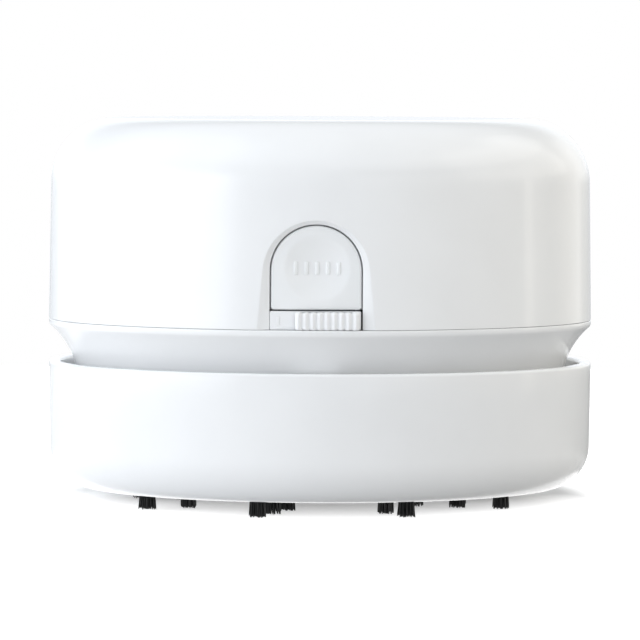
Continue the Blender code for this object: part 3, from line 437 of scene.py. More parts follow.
def makeCover():
    # the skin and its inner side are turned grids with a gap at the front. The gap is filled by a
    # patch whose rows run from the window's outline, through the flare, to the gap's edge
    s = values(coverSettings)
    outer, inner = coverProfile(0), coverProfile(s.wall)
    angle = np.arange(s.columns) * fullTurn / s.columns
    grids = [coverPoint(angle[None, :], p[:, 1:], p[:, :1]) for p in (outer, inner)]
    rows, half = len(outer) - 1, s.patchColumns
    keep = np.ones((rows, s.columns), bool)
    keep[:s.patchRows, :half] = False
    keep[:s.patchRows, -half:] = False
    sheets = [sheet(grid, wrap=True, keep=keep) for grid in grids]
    keepFoot = np.ones((1, s.columns), bool)
    keepFoot[:, :half] = False
    keepFoot[:, -half:] = False
    sheets.append(sheet(np.stack([grids[0][0], grids[1][0]]), wrap=True, keep=keepFoot))

    # the window's outline from the left foot, over the arch, to the right foot
    straight = np.linspace(s.seam, s.archCentre, 12)
    arch = np.linspace(math.pi, 0, 39)[1:-1]
    w = s.windowHalf
    windowX = np.concatenate([np.full(12, -w), w * np.cos(arch), np.full(12, w)])
    windowZ = np.concatenate([straight, s.archCentre + w * np.sin(arch), straight[::-1]])
    headX = np.clip(windowX / w, -1, 1)
    headZ = np.maximum(windowZ - s.archCentre, 0) / w
    drop = np.clip((s.archCentre - windowZ) / (s.archCentre - s.seam), 0, 1)
    width = s.flareSide + (s.flareFoot - s.flareSide) * drop
    width = width + (s.flareTop - s.flareSide) * headZ

    # the gap's edge, point for point beside the outline
    side = np.radians(360 * half / s.columns)
    wallRows = outer[:s.patchRows + 1, 1]
    across = np.linspace(-side, side, 2 * half + 1)[1:-1]
    upright = np.full(s.patchRows + 1, side)
    edgeAngle = np.concatenate([-upright, across, upright])
    edgeZ = np.concatenate([wallRows, np.full(len(across), s.patchTop), wallRows[::-1]])

    # flare rows: depth falls straight to the skin, with a soft crease where it meets it
    u = np.array([0, 0.12, 0.3, 0.5, 0.7, 0.82, 0.9, 0.96, 1.0, 1.04, 1.1, 1.2, 1.35, 1.6])[:, None]
    flareX, flareZ = windowX + headX * width * u, windowZ + headZ * width * u
    ramp = (np.sqrt((1 - u) ** 2 + s.crease ** 2) + 1 - u) / 2
    skin = coverRadius(flareZ)
    v = np.linspace(0, 1, 11)[1:, None]
    patches = []
    for inset in (0, s.wall):
        radius = skin - (skin - s.windowRadius) * ramp if inset == 0 else skin - inset
        flareY = -np.sqrt(radius**2 - flareX**2)
        flare = np.stack([flareX, flareY, flareZ], -1)
        endAngle = np.arcsin(flareX[-1] / (skin[-1] - inset))
        blendAngle = endAngle + (edgeAngle - endAngle) * v
        blendZ = flareZ[-1] + (edgeZ - flareZ[-1]) * v
        blend = coverPoint(blendAngle, blendZ, coverRadius(blendZ) - inset)
        patches.append(np.concatenate([flare, blend]))
    sheets += [sheet(patch) for patch in patches]
    sheets.append(sheet(np.stack([patches[0][0], patches[1][0]])))
    sheets += [sheet(np.stack([patches[0][:, end], patches[1][:, end]])) for end in (0, -1)]
    addPiece("coverShell", sheets, glossAbs, ["top_cover"], 38, s.edge, body="cover")


makeCover()
print("cover made")


# Neck and drum

neckSettings = dict(
    bandTop=29.19, bandCorner=28.36, bandRound=0.8, bandFoot=28.1, bandOut=42.5, coveOut=42.2,
    underIn=0.35, underDrop=0.31, waist=37.9, coveDrop=9.5, wall=1.5, lipOut=40.4, lipIn=39.0,
    lipTop=30.65, deckTop=28.0, deckFoot=26.5, eye=4.0, ringIn=12.4, ringOut=13.5, ringTop=33.0,
    flange=38.9, flangeTop=14.8, foot=13.6, chamfer=0.2, slotCount=16, slotLow=19.3, slotHigh=21.26,
    slotWidth=3.4, slotIn=33.4, slotOut=40.75, bossRing=30.8, bossRadius=2.6, bossFoot=19.1,
    bossOverlap=0.3, strapBoss=18.0, strapBossRadius=2.4, strapBossTop=31.0, pilot=0.9, pilotDepth=4.5,
    # low and high corners of the openings for the latch's arm, for its nose, and in the lip for
    # the track and the button
    openings=[((-3.2, -32.23, 20), (3.2, -28.33, 31)), ((-3.2, -40.75, 19.0), (3.2, -33.4, 20.8)),
              ((-7.38, -40.7, 29.0), (7.38, -36.0, 34))],
)


def coveRadius(height, inset=0.0):
    # an arc that comes down upright at the waist and reaches the band's foot
    s = values(neckSettings)
    reach = s.coveOut - s.waist
    bend = (reach**2 + s.coveDrop**2) / (2 * reach)
    rise = np.maximum(height - (s.bandFoot - s.coveDrop), 0)
    return s.waist - inset + bend - np.sqrt(bend**2 - rise**2)


def bossSpots():
    # three spots a third of a turn apart, the first at the back
    angle, ring = quarter + np.arange(3) * fullTurn / 3, neckSettings["bossRing"]
    return np.column_stack([ring * np.cos(angle), ring * np.sin(angle)]).tolist()


def makeNeck():
    # lip, band, cove, drum, inner side and deck are one closed profile, turned. Bosses are joined
    # to it; pilot holes, a ring of slots for the air and the openings are cut out
    s = values(neckSettings)
    e, low = s.chamfer, s.bandFoot - s.coveDrop
    tip, under = (s.lipIn, s.lipTop), (s.coveOut - s.underIn, s.bandFoot - s.underDrop)
    coveDown, coveUp = np.linspace(s.bandFoot - s.underDrop, low, 25), np.linspace(low, s.deckFoot, 13)
    outside = roundedPath([tip, (s.lipOut, s.lipTop), (s.lipOut, s.bandTop), (s.bandOut, s.bandTop),
                           (s.bandOut, s.bandCorner), under, (s.lipIn, s.bandFoot - 1)],
                          [0.2, 0.2, 0.1, 0.15, s.bandRound, 0, 0], 6)
    first, start = [np.argmin(np.linalg.norm(outside - mark, axis=1)) for mark in (tip, under)]
    outside = np.roll(outside, -first, 0)[:(start - first) % len(outside)]
    cove = np.column_stack([coveRadius(coveDown), coveDown])
    drum = [(s.waist, s.flangeTop), (s.flange - e, s.flangeTop), (s.flange, s.flangeTop - e),
            (s.flange, s.foot + e), (s.flange - e, s.foot), (s.waist - s.wall, s.foot)]
    inside = np.column_stack([coveRadius(coveUp, s.wall), coveUp])
    deck = [(s.eye, s.deckFoot), (s.eye, s.deckTop), (s.ringIn, s.deckTop), (s.ringIn, s.ringTop),
            (s.ringOut - e, s.ringTop), (s.ringOut, s.ringTop - e), (s.ringOut, s.deckTop),
            (s.lipIn, s.deckTop), (s.lipIn, s.lipTop - e)]
    shell = turnedSheet(np.concatenate([outside, cove, drum, inside, deck]), 192)
    strapSpots = [(0, side * s.strapBoss) for side in (-1, 1)]
    bosses = [rodSheet(s.bossRadius, s.bossFoot, s.deckFoot + s.bossOverlap, spot)
              for spot in bossSpots()]
    bosses += [rodSheet(s.strapBossRadius, s.deckTop - s.bossOverlap, s.strapBossTop, spot)
               for spot in strapSpots]
    cutters = [rodSheet(s.pilot, s.bossFoot - 2, s.bossFoot + s.pilotDepth, spot, 20)
               for spot in bossSpots()]
    cutters += [rodSheet(s.pilot, s.deckFoot + 0.6, s.strapBossTop + 2, spot, 20)
                for spot in strapSpots]
    half = s.slotWidth / 2
    for number in range(1, s.slotCount - 1):
        turn = (number + 0.5) / s.slotCount * fullTurn - quarter
        cutters.append(boxSheet((s.slotIn, -half, s.slotLow), (s.slotOut, half, s.slotHigh), turn))
    cutters += [boxSheet(low, high) for low, high in s.openings]
    mesh = carve(carve([shell], bosses, "UNION"), cutters)
    addPiece("neckShell", mesh, glossAbs, ["neck_housing"], 30)


makeNeck()
print("neck made")


# Dust cup

cupSettings = dict(
    rim=22.65, rimRadius=42.5, footRadius=42.2, wall=1.75, foot=2.85, floor=2.0, fillet=6.6,
    ledgeTop=12.0, ledge=1.2, ledgeIn=36.8, inlet=7.8, collar=9.0, collarTop=11.15, catchHalf=3.5,
    catchFoot=21.2, catchTop=22.2, catchFace=39.35,
    catchBack=41.6, rows=8, rowTurn=-17.6, stripHalf=1.9,
    stripDepth=1.1, tuftOuter=29.75, tuftPitch=7.0, stripMargin=2.1, clearance=0.3,
)


def rowAngle(number):
    # rows stand an eighth of a turn apart, the first a little left of the front
    s = values(cupSettings)
    return -quarter + math.radians(s.rowTurn) + fullTurn * number / s.rows


def stripOutline(number, extra=0.0, steps=12):
    # two half circles joined by straight sides, along the row's direction
    s = values(cupSettings)
    count = 3 - number % 2
    outer = s.tuftOuter + s.stripMargin - s.stripHalf
    inner = s.tuftOuter - s.tuftPitch * (count - 1) - s.stripMargin + s.stripHalf
    half = s.stripHalf + extra
    turn = np.linspace(-quarter, quarter, steps + 1)
    flat = np.concatenate([
        np.column_stack([outer + half * np.cos(turn), half * np.sin(turn)]),
        np.column_stack([inner - half * np.cos(turn), -half * np.sin(turn)])])
    cos, sin = math.cos(rowAngle(number)), math.sin(rowAngle(number))
    return flat @ np.array([[cos, sin], [-sin, cos]])


def levels(outline, heights):
    # one flat outline repeated at each height
    return np.stack([np.column_stack([outline, np.full(len(outline), z)]) for z in heights])


def makeCup():
    # outer wall, a large lower fillet, the flat underside, the inlet's collar, the floor and the
    # ledge, as one closed profile
    s = values(cupSettings)
    corners = [(s.rimRadius, s.rim), (s.footRadius, s.foot), (s.inlet, s.foot),
               (s.inlet, s.collarTop), (s.collar, s.collarTop),
               (s.collar, s.foot + s.floor),
               (s.footRadius - s.floor, s.foot + s.floor),
               (s.footRadius - s.floor, s.ledgeTop - s.ledge),
               (s.ledgeIn, s.ledgeTop - s.ledge), (s.ledgeIn, s.ledgeTop),
               (s.rimRadius - s.wall, s.ledgeTop), (s.rimRadius - s.wall, s.rim)]
    radii = [0.5, s.fillet, 0.8, 0.4, 0.4, 0.8, s.fillet - s.floor, 0.3, 0.2, 0.2, 0.3, 0.5]
    catch = boxSheet((-s.catchHalf, -s.catchBack, s.catchFoot), (s.catchHalf, -s.catchFace, s.catchTop))
    mesh = carve([turnedSheet(roundedPath(corners, radii, 14), 192)], [catch], "UNION")
    heights = (s.foot - 1, s.foot + s.stripDepth + s.clearance)
    pockets = [stackedSheet(levels(stripOutline(i, s.clearance), heights)) for i in range(s.rows)]
    addPiece("cupShell", carve(mesh, pockets), glossAbs, ["dust_cup"], 30, body="cup")


makeCup()
print("cup made")


# Bristle rows

bristleSettings = dict(
    hairs=61, radius=0.125, rootSpread=1.12, tipSpread=1.38, root=3.3, raggedness=0.55, sides=5,
    seed=11,
    goldenAngle=2.39996, tipScatter=0.07, lean=0.05, shortest=1.1, footRound=0.15,
)


def makeTuft(centre, random):
    # hairs start on a sunflower pattern, lean outwards and bend a little, and end at ragged heights
    s = values(bristleSettings)
    number = np.arange(s.hairs)
    ring = np.sqrt((number + 0.5) / s.hairs)
    turn = number * s.goldenAngle + random.uniform(0, fullTurn)
    heading = np.column_stack([np.cos(turn), np.sin(turn)])
    root = heading * (ring * s.rootSpread)[:, None]
    tipReach = s.tipSpread * (0.9 + 0.1 * random.random())
    tip = heading * (ring * tipReach)[:, None] + random.normal(0, s.tipScatter, (s.hairs, 2))
    tip += random.normal(0, s.lean, 2)
    end = np.abs(random.normal(0, s.raggedness / 2.2, s.hairs))
    end = np.clip(end - end.min(), 0, s.shortest)
    share = np.array([0, 0.45, 0.85, 1.0])[None, :, None]
    flat = centre + root[:, None] + (tip - root)[:, None] * share**1.5
    height = s.root + (end[:, None, None] - s.root) * share
    thick = s.radius * np.array([1, 1, 0.85, 0.5])[None, :, None]
    angle = np.arange(s.sides) * fullTurn / s.sides
    x = flat[..., 0:1] + thick * np.cos(angle)
    y = flat[..., 1:2] + thick * np.sin(angle)
    z = np.broadcast_to(height, x.shape)
    return [stackedSheet(hair) for hair in np.stack([x, y, z], -1)]


def makeBristleRows():
    # a strip with round ends under each row, and its two or three tufts
    s = values(cupSettings)
    random, edge = np.random.default_rng(bristleSettings["seed"]), bristleSettings["footRound"]
    for number in range(s.rows):
        foot = levels(stripOutline(number, -edge), [s.foot])
        walls = levels(stripOutline(number), [s.foot + edge, s.foot + s.stripDepth])
        sheets = [stackedSheet(np.concatenate([foot, walls]))]
        heading = np.array([math.cos(rowAngle(number)), math.sin(rowAngle(number))])
        for tuft in range(3 - number % 2):
            sheets += makeTuft(heading * (s.tuftOuter - s.tuftPitch * tuft), random)
        addPiece(f"bristleRow{number + 1}", makeMesh(sheets, fineWeld), bristleNylon,
                 [f"brush_row_{number + 1}"], 50, body="cup")


makeBristleRows()
print("bristle rows made")


# Release button

buttonSettings = dict(
    half=6.8, foot=32.28, archCentre=38.1, corner=0.42, front=41.4, edge=0.4, lip=0.88,
    lipFront=39.4, back=38.4, wall=1.4, dishX=0.15, dishZ=38.5, dishRadius=4.9, dishDepth=1.0,
    rimSoftness=0.14, markWidth=0.64, markHeight=2.1, markGap=1.6, markRise=0.2, markCount=5,
    dishRings=(0.15, 4.0, 12), rimRings=(4.15, 5.3, 9),
)


def archLoop(half, foot, corner):
    # foot, a small round corner, side, half circle, side and corner, always as many points
    centre = buttonSettings["archCentre"]
    corner = max(corner, 0.02)
    bottom = np.linspace(-half + corner, half - corner, 25)[:-1]
    turn = np.linspace(-quarter, 0, 9)[:-1]
    side = np.linspace(foot + corner, centre, 13)[:-1]
    arch = np.linspace(0, math.pi, 61)[:-1]
    x = np.concatenate([bottom, half - corner + corner * np.cos(turn), np.full(12, half),
                        half * np.cos(arch), np.full(12, -half),
                        -half + corner - corner * np.cos(turn[::-1] + math.pi / 16)])
    z = np.concatenate([np.full(24, foot), foot + corner + corner * np.sin(turn), side,
                        centre + half * np.sin(arch), centre + foot + corner - side,
                        foot + corner + corner * np.sin(turn[::-1] + math.pi / 16)])
    return np.column_stack([x, z])


def buttonFront(x, z):
    # a cylinder about the cleaner's axis, less a ball-shaped dish with a soft rim
    s = values(buttonSettings)
    bend = (s.dishRadius ** 2 + s.dishDepth ** 2) / (2 * s.dishDepth)
    away = np.hypot(x - s.dishX, z - s.dishZ)
    depth = s.dishDepth - bend + np.sqrt(np.maximum(bend**2 - away**2, 0))
    depth = (depth + np.sqrt(depth**2 + s.rimSoftness ** 2)) / 2
    return -np.sqrt(s.front ** 2 - x**2) + depth


def makeButton():
    # rings grow from the dish's middle into the arch's outline, roll over its edge, run back, out
    # round the lip and in again to the hollow behind
    s = values(buttonSettings)
    edge = archLoop(s.half - s.edge, s.foot + s.edge, s.corner - s.edge)
    middle = np.array([s.dishX, s.dishZ])
    heading = edge - middle
    heading = heading / np.linalg.norm(heading, axis=1, keepdims=True)
    rings = np.concatenate([np.linspace(*s.dishRings), np.linspace(*s.rimRings)])
    flat = middle + heading[None] * rings[:, None, None]
    grow = np.linspace(0, 1, 7)[1:, None, None]
    flat = np.concatenate([flat, flat[-1] + (edge - flat[-1]) * grow])
    face = np.stack([flat[..., 0], buttonFront(flat[..., 0], flat[..., 1]), flat[..., 1]], -1)
    loops = [row for row in face]
    for turn in np.linspace(0, quarter, 6)[1:]:
        out = s.edge * (1 - math.sin(turn))
        ring = archLoop(s.half - out, s.foot + out, s.corner - out)
        back = buttonFront(edge[:, 0], edge[:, 1]) + s.edge * (1 - math.cos(turn))
        loops.append(np.column_stack([ring[:, 0], back, ring[:, 1]]))
    full = archLoop(s.half, s.foot, s.corner)
    lip = archLoop(s.half + s.lip, s.foot, s.corner)
    hollow = archLoop(s.half - s.wall, s.foot + s.wall, 0.4)
    for ring, depth in ((full, s.lipFront), (lip, s.lipFront), (lip, s.back),
                        (hollow, s.back), (hollow, s.front - s.wall)):
        loops.append(np.column_stack([ring[:, 0], np.full(len(ring), -depth), ring[:, 1]]))
    addPiece("pushButton", [stackedSheet(loops)], buttonAbs, ["release_button"], 40, body="button")


def makeButtonMarks():
    # a plain row of short raised bars in the dish, for the thumb to feel
    s = values(buttonSettings)
    turn = np.linspace(0, fullTurn, 25)[:-1]
    sheets = []
    for number in range(s.markCount):
        middle = s.dishX + (number - (s.markCount - 1) / 2) * s.markGap
        loops = []
        for grow, rise in ((1.0, -0.1), (1.0, 0.3 * s.markRise), (0.84, 0.75 * s.markRise),
                           (0.55, s.markRise)):
            x = middle + s.markWidth / 2 * grow * np.sign(np.cos(turn)) * np.abs(np.cos(turn)) ** 0.5
            z = s.dishZ + s.markHeight / 2 * grow * np.sign(np.sin(turn)) * np.abs(np.sin(turn)) ** 0.35
            loops.append(np.column_stack([x, buttonFront(x, z) - rise, z]))
        sheets.append(stackedSheet(loops))
    addPiece("buttonMarks", sheets, buttonAbs, (), 60, body="button")


makeButton()
makeButtonMarks()
print("button made")


# Slide switch

switchSettings = dict(
    trackLeft=-6.95, trackRight=6.74, trackLow=29.24, trackHigh=32.06, trackFront=41.0,
    trackBack=39.9, slotLowX=-3.1, slotHighX=3.1, slotLow=29.95, slotHigh=31.55, trackEdge=0.12,
    knobCentre=1.7, knobHalf=4.85, knobLow=29.23, knobHigh=31.95, knobBack=41.3, knobFront=42.14,
    ribs=9, ribRise=0.36, knobEdge=0.34, markX=-5.75, markZ=30.55,
    markHalfX=0.28, markHalfZ=0.75, markCorner=0.2, ribPower=0.7,
)


def rectangleLoop(low, high, corner, perSide=12, perCorner=6):
    # a rectangle with round corners, always as many points
    turn = np.linspace(0, quarter, perCorner + 1)
    centres = [(high[0] - corner, high[1] - corner), (low[0] + corner, high[1] - corner),
               (low[0] + corner, low[1] + corner), (high[0] - corner, low[1] + corner)]
    points = []
    for number, centre in enumerate(centres):
        angle = turn + number * quarter
        arc = np.column_stack([centre[0] + corner * np.cos(angle), centre[1] + corner * np.sin(angle)])
        after = centres[(number + 1) % 4]
        start = np.array([after[0] + corner * math.cos(angle[-1]),
                          after[1] + corner * math.sin(angle[-1])])
        share = np.linspace(0, 1, perSide + 1)[1:-1, None]
        points += [arc, arc[-1] + (start - arc[-1]) * share]
    return np.concatenate(points)


def standing(loop, depth):
    # a flat outline of x and z stood up at a depth
    return np.column_stack([loop[:, 0], np.full(len(loop), -depth), loop[:, 1]])


def makeTrack():
    # the plate's outline, rolled over its front edge, with the slot's outline inside it
    s = values(switchSettings)
    low, high = (s.trackLeft, s.trackLow), (s.trackRight, s.trackHigh)
    e = s.trackEdge
    outer = rectangleLoop(low, high, 0.2)
    inset = rectangleLoop((low[0] + e, low[1] + e), (high[0] - e, high[1] - e), 0.2 - e)
    slot = rectangleLoop((s.slotLowX, s.slotLow), (s.slotHighX, s.slotHigh), 0.3)
    loops = [standing(slot, s.trackBack), standing(slot, s.trackFront),
             standing(inset, s.trackFront), standing((outer + inset) / 2, s.trackFront - e * 0.25),
             standing(outer, s.trackFront - e), standing(outer, s.trackBack)]
    addPiece("trackPlate", [ringSheet(loops)], glossAbs, ["switch_track"], 40)
    loops = []
    for grow, rise in ((1.0, -0.05), (1.0, 0.05), (0.85, 0.09), (0.6, 0.11)):
        x, z = s.markHalfX * grow, s.markHalfZ * grow
        ring = rectangleLoop((s.markX - x, s.markZ - z), (s.markX + x, s.markZ + z),
                             s.markCorner * grow)
        loops.append(standing(ring, s.trackFront + rise))
    addPiece("trackMark", [stackedSheet(loops)], glossAbs, (), 60)


def knobLoop(inset):
    # the knob's section from above: a flat back, two sides, and a front of ribs as a wave,
    # rise * (1 - cos(2 * pi * share of pitch)) / 2, the round part wider than the groove
    s = values(switchSettings)
    x = np.linspace(-s.knobHalf, s.knobHalf, 14 * s.ribs + 1)
    share = (x / s.knobHalf + 1) / 2 * s.ribs
    y = -s.knobFront - s.ribRise * (0.5 - 0.5 * np.cos(fullTurn * share)) ** s.ribPower
    x = s.knobCentre + x * (s.knobHalf - inset) / s.knobHalf
    back = np.linspace(x[-1], x[0], 30)
    y = np.concatenate([y + inset, np.full(len(back), -s.knobBack)])
    return np.column_stack([np.concatenate([x, back]), y])


def makeKnob():
    # the section carried up z, drawn in along a quarter circle at both ends
    s = values(switchSettings)
    turn = np.linspace(0, quarter, 7)
    e = s.knobEdge
    rows = [(e * (1 - math.sin(a)), s.knobLow + e * (1 - math.cos(a))) for a in turn]
    rows += [(inset, s.knobLow + s.knobHigh - z) for inset, z in rows[::-1]]
    loops = [levels(knobLoop(inset), [z])[0] for inset, z in rows]
    addPiece("slideKnob", [stackedSheet(loops)], knobPom, ["switch_knob"], 70, body="knob")


makeTrack()
makeKnob()
print("switch made")


# Helpers for the inner pieces

def turned(corners, radii, steps=96, about=(0, 0), side=None):
    # a profile with round corners, turned; one that starts on the axis is closed by its poles
    profile = roundedPath(corners, radii, 5)
    return makeMesh([turnedSheet(profile, steps, corners[0][0] > 0, about, side)])


def roundedRoute(marks, radii, steps=8):
    # an open route in a plane whose inner marks are rounded. The outline is closed by way of one
    # more mark, which keeps the closing line off the route and is left out at the end
    marks = np.asarray(marks, float)
    away = marks[0] + (marks[0] - marks[1]) * 0.001 + (0.001, 0.001)
    return roundedPath(np.concatenate([marks, [away]]), [0, *radii, 0, 0], steps)[:-1]


def strapSheet(route, half, thickness):
    # a flat strip of a width along x, carried along a route of y and z: each section is a
    # rectangle with round corners, square to the route
    ahead = np.gradient(route, axis=0)
    ahead /= np.linalg.norm(ahead, axis=1, keepdims=True)
    square = np.column_stack([-ahead[:, 1], ahead[:, 0]])
    section = rectangleLoop((-half, -thickness / 2), (half, thickness / 2), thickness * 0.22, 6, 4)
    flat = route[:, None] + square[:, None] * section[None, :, 1:]
    x = np.broadcast_to(section[None, :, :1], (len(route), len(section), 1))
    return stackedSheet(np.concatenate([x, flat], -1))


# Screws

screwSettings = dict(
    head=1.8, headHeight=1.1, shank=0.6, thread=0.2, pitch=0.7, length=4.6, recess=1.05,
    recessHalf=0.22, recessDepth=0.65, coverSeat=17.3, strapSeat=32.4, turnStep=0.7,
    neck=0.3, threadStart=0.25, fadeIn=0.4, fadeOut=0.9, point=0.5, pointShare=0.3,
)


def makeScrewMesh():
    # head up, seat at zero. Thread radius = shank + rise * (1 - |2 * frac(z / pitch - turn) - 1|)
    s = values(screwSettings)
    head = roundedPath([(0, s.headHeight), (s.head, s.headHeight), (s.head, 0), (s.shank, 0),
                        (s.shank, -s.neck), (0, -s.neck)], [0, 0.75, 0.12, 0, 0, 0], 6)
    mesh = makeMesh([turnedSheet(head, 64, False)])
    half, deep = s.recessHalf, s.headHeight - s.recessDepth
    cross = [boxSheet((-s.recess, -half, deep), (s.recess, half, 2)),
             boxSheet((-half, -s.recess, deep), (half, s.recess, 2))]
    mesh = carve(mesh, cross)
    height = np.linspace(-s.threadStart, -s.length, 66)[:, None]
    angle = np.arange(24)[None] * fullTurn / 24
    wave = 1 - np.abs(2 * ((height / s.pitch - angle / fullTurn) % 1) - 1)
    taper = np.clip((height + s.length) / s.fadeOut, 0, 1)
    taper = taper * np.clip(-(height + s.threadStart) / s.fadeIn, 0, 1)
    core = s.shank * np.clip((height + s.length) / s.point, s.pointShare, 1)
    radius = core + s.thread * wave * taper
    loops = np.stack([radius * np.cos(angle), radius * np.sin(angle), height + 0 * angle], -1)
    thread = makeMesh([stackedSheet(loops)])
    shape = bmesh.new()
    shape.from_mesh(mesh)
    shape.from_mesh(thread)
    shape.to_mesh(mesh)
    shape.free()
    return mesh


def makeScrews():
    # three with their heads down, below the fan cover, and two on the strap's feet, each turned
    # on by turnStep
    s, place = values(screwSettings), neckSettings["strapBoss"]
    screw = makeScrewMesh()
    spots = [(f"fanCoverScrew{i + 1}", f"fan_cover_screw_{i + 1}", *spot, s.coverSeat, math.pi)
             for i, spot in enumerate(bossSpots())]
    spots += [("strapScrewFront", "strap_screw_front", 0, -place, s.strapSeat, 0),
              ("strapScrewBack", "strap_screw_back", 0, place, s.strapSeat, 0)]
    for number, (name, node, x, y, seat, flip) in enumerate(spots):
        mesh = screw.copy()
        turn = Matrix.Rotation(s.turnStep * number, 4, "Z") @ Matrix.Rotation(flip, 4, "X")
        mesh.transform(Matrix.Translation(Vector((x, y, seat)) * mm) @ turn)
        addPiece(name, mesh, nickelWire, [node], 30)


makeScrews()
print("screws made")


# Seal, filter and fan cover

sealSettings = dict(
    corners=[(37.2, 12.3), (38.7, 12.3), (38.7, 13.3), (37.95, 13.05), (37.2, 13.3)],
    radii=[0.3, 0.3, 0.12, 0.2, 0.12], steps=192,
)
filterSettings = dict(
    outer=34.3, inner=31.8, foot=13.6, top=15.7, spokeHalf=0.9, spokeLow=13.9, spokeHigh=14.6,
    spokeRoot=1.2, spokes=3, hub=4.0, hubLow=13.75, hubHigh=14.75, bevel=0.12,
)
feltSettings = dict(radius=31.5, low=15.05, high=15.85, wave=0.06, rim=0.03)
fanCoverSettings = dict(
    corners=[(36.1, 18.8), (36.1, 13.6), (34.6, 13.6), (34.6, 17.6), (11.0, 17.6), (11.0, 18.8)],
    radii=[0.3, 0.3, 0.3, 0.5, 0.7, 0.3], steps=160, hole=1.2, holeLow=17.0, holeHigh=19.5,
)


def makeSeal():
    # a turned ring with a rounded lip on its outer side
    addPiece("sealRing", turned(**sealSettings), sealRubber, ["seal_ring"], 40)


def makeFilter():
    # a turned ring, three bars across it and a round hub, joined
    s = values(filterSettings)
    ring = turned([(s.inner, s.foot), (s.outer, s.foot), (s.outer, s.top), (s.inner, s.top)],
                  [0.4, 0.4, 0.3, 0.3], 144)
    reach = s.inner + s.spokeRoot
    bars = [boxSheet((-reach, -s.spokeHalf, s.spokeLow), (reach, s.spokeHalf, s.spokeHigh),
                     math.pi * i / s.spokes) for i in range(s.spokes)]
    hub = roundedPath([(0, s.hubLow), (s.hub, s.hubLow), (s.hub, s.hubHigh), (0, s.hubHigh)],
                      [0, 0.3, 0.3, 0])
    mesh = carve(ring, bars + [turnedSheet(hub, 64, False)], "UNION")
    addPiece("filterFrame", mesh, innerAbs, ["filter_frame"], 30, s.bevel)


def makeFelt():
    # a disc whose two faces swell and dip together by
    # wave * (sin(0.9 * x + 1.1) * cos(0.74 * y) + sin(2.1 * x - 1.7 * y) / 2), and thin towards the rim
    s = values(feltSettings)
    ring = np.concatenate([np.linspace(0, 0.96, 34) ** 0.8, [0.985, 0.996, 1.0]])[:, None]
    angle = np.arange(128)[None] * fullTurn / 128
    x, y = s.radius * ring * np.cos(angle), s.radius * ring * np.sin(angle)
    swell = s.wave * (np.sin(x * 0.9 + 1.1) * np.cos(y * 0.74) + 0.5 * np.sin(x * 2.1 - y * 1.7))
    edge = np.clip((1 - ring) / s.rim, 0, 1) ** 0.5
    middle, half = (s.low + s.high) / 2, (s.high - s.low) / 2 - 0.1
    top, foot = [np.stack([x, y, middle + way * half * (0.35 + 0.65 * edge) + swell * edge], -1)
                 for way in (1, -1)]
    rim = np.stack([top[-1], foot[-1]])
    sheets = [sheet(points, wrap=True) for points in (top, foot, rim)]
    addPiece("filterFelt", sheets, needledFelt, ["filter_felt"], 60)


def makeFanCover():
    # skirt, plate and the fan's eye with a rounded mouth, turned, with a hole for each screw
    s = values(fanCoverSettings)
    holes = [rodSheet(s.hole, s.holeLow, s.holeHigh, spot, 40) for spot in bossSpots()]
    mesh = carve(turned(s.corners, s.radii, s.steps), holes)
    addPiece("fanCover", mesh, innerAbs, ["fan_cover"], 30)


makeSeal()
makeFilter()
makeFelt()
makeFanCover()
print("filter made")


# Fan

fanSettings = dict(
    radius=23.0, top=26.0, back=25.2, hub=4.0, hubLow=20.6, bore=1.3, blades=9, bladeLow=19.7,
    root=8.5, tip=22.4, sweep=-52, thickness=1.0, shaft=1.0,
    shaftLow=20.6, shaftHigh=29.2, tipThinning=0.3, rootRise=0.5, rootRamp=8,
    overlap=0.3, bladeCorner=0.28,
)


def makeImpeller():
    # back plate and hub are turned. A blade's sections are upright rectangles with round corners
    # along the curve angle = sweep * share, radius = root + (tip - root) * share
    s = values(fanSettings)
    profile = roundedPath([(s.bore, s.top), (s.bore, s.hubLow), (s.hub, s.hubLow),
                           (s.hub, s.back), (s.radius, s.back), (s.radius, s.top)],
                          [0.15, 0.15, 0.5, 1.2, 0.25, 0.25], 6)
    sheets = [turnedSheet(profile, 144)]
    share = np.linspace(0, 1, 25)
    radius = s.root + (s.tip - s.root) * share
    for number in range(s.blades):
        angle = math.radians(s.sweep) * share + fullTurn * number / s.blades
        route = np.column_stack([radius * np.cos(angle), radius * np.sin(angle)])
        ahead = np.gradient(route, axis=0)
        ahead /= np.linalg.norm(ahead, axis=1, keepdims=True)
        square = np.column_stack([-ahead[:, 1], ahead[:, 0]])
        loops = []
        for k in range(len(route)):
            narrow = s.thickness / 2 * (1 - s.tipThinning * share[k])
            lower = s.bladeLow + s.rootRise * max(0, 1 - share[k] * s.rootRamp) ** 2
            section = rectangleLoop((-narrow, lower), (narrow, s.back + s.overlap), s.bladeCorner, 4, 4)
            flat = route[k] + square[k] * section[:, :1]
            loops.append(np.column_stack([flat, section[:, 1]]))
        sheets.append(stackedSheet(loops))
    addPiece("fanImpeller", makeMesh(sheets, fineWeld), darkNylon, ["impeller"], body="fan")
    shaft = [(0, s.shaftLow), (s.shaft, s.shaftLow), (s.shaft, s.shaftHigh), (0, s.shaftHigh)]
    addPiece("fanShaft", turned(shaft, [0, 0.2, 0.2, 0], 48), nickelWire, ["motor_shaft"], 30,
             body="fan")


makeImpeller()
print("fan made")


# Motor

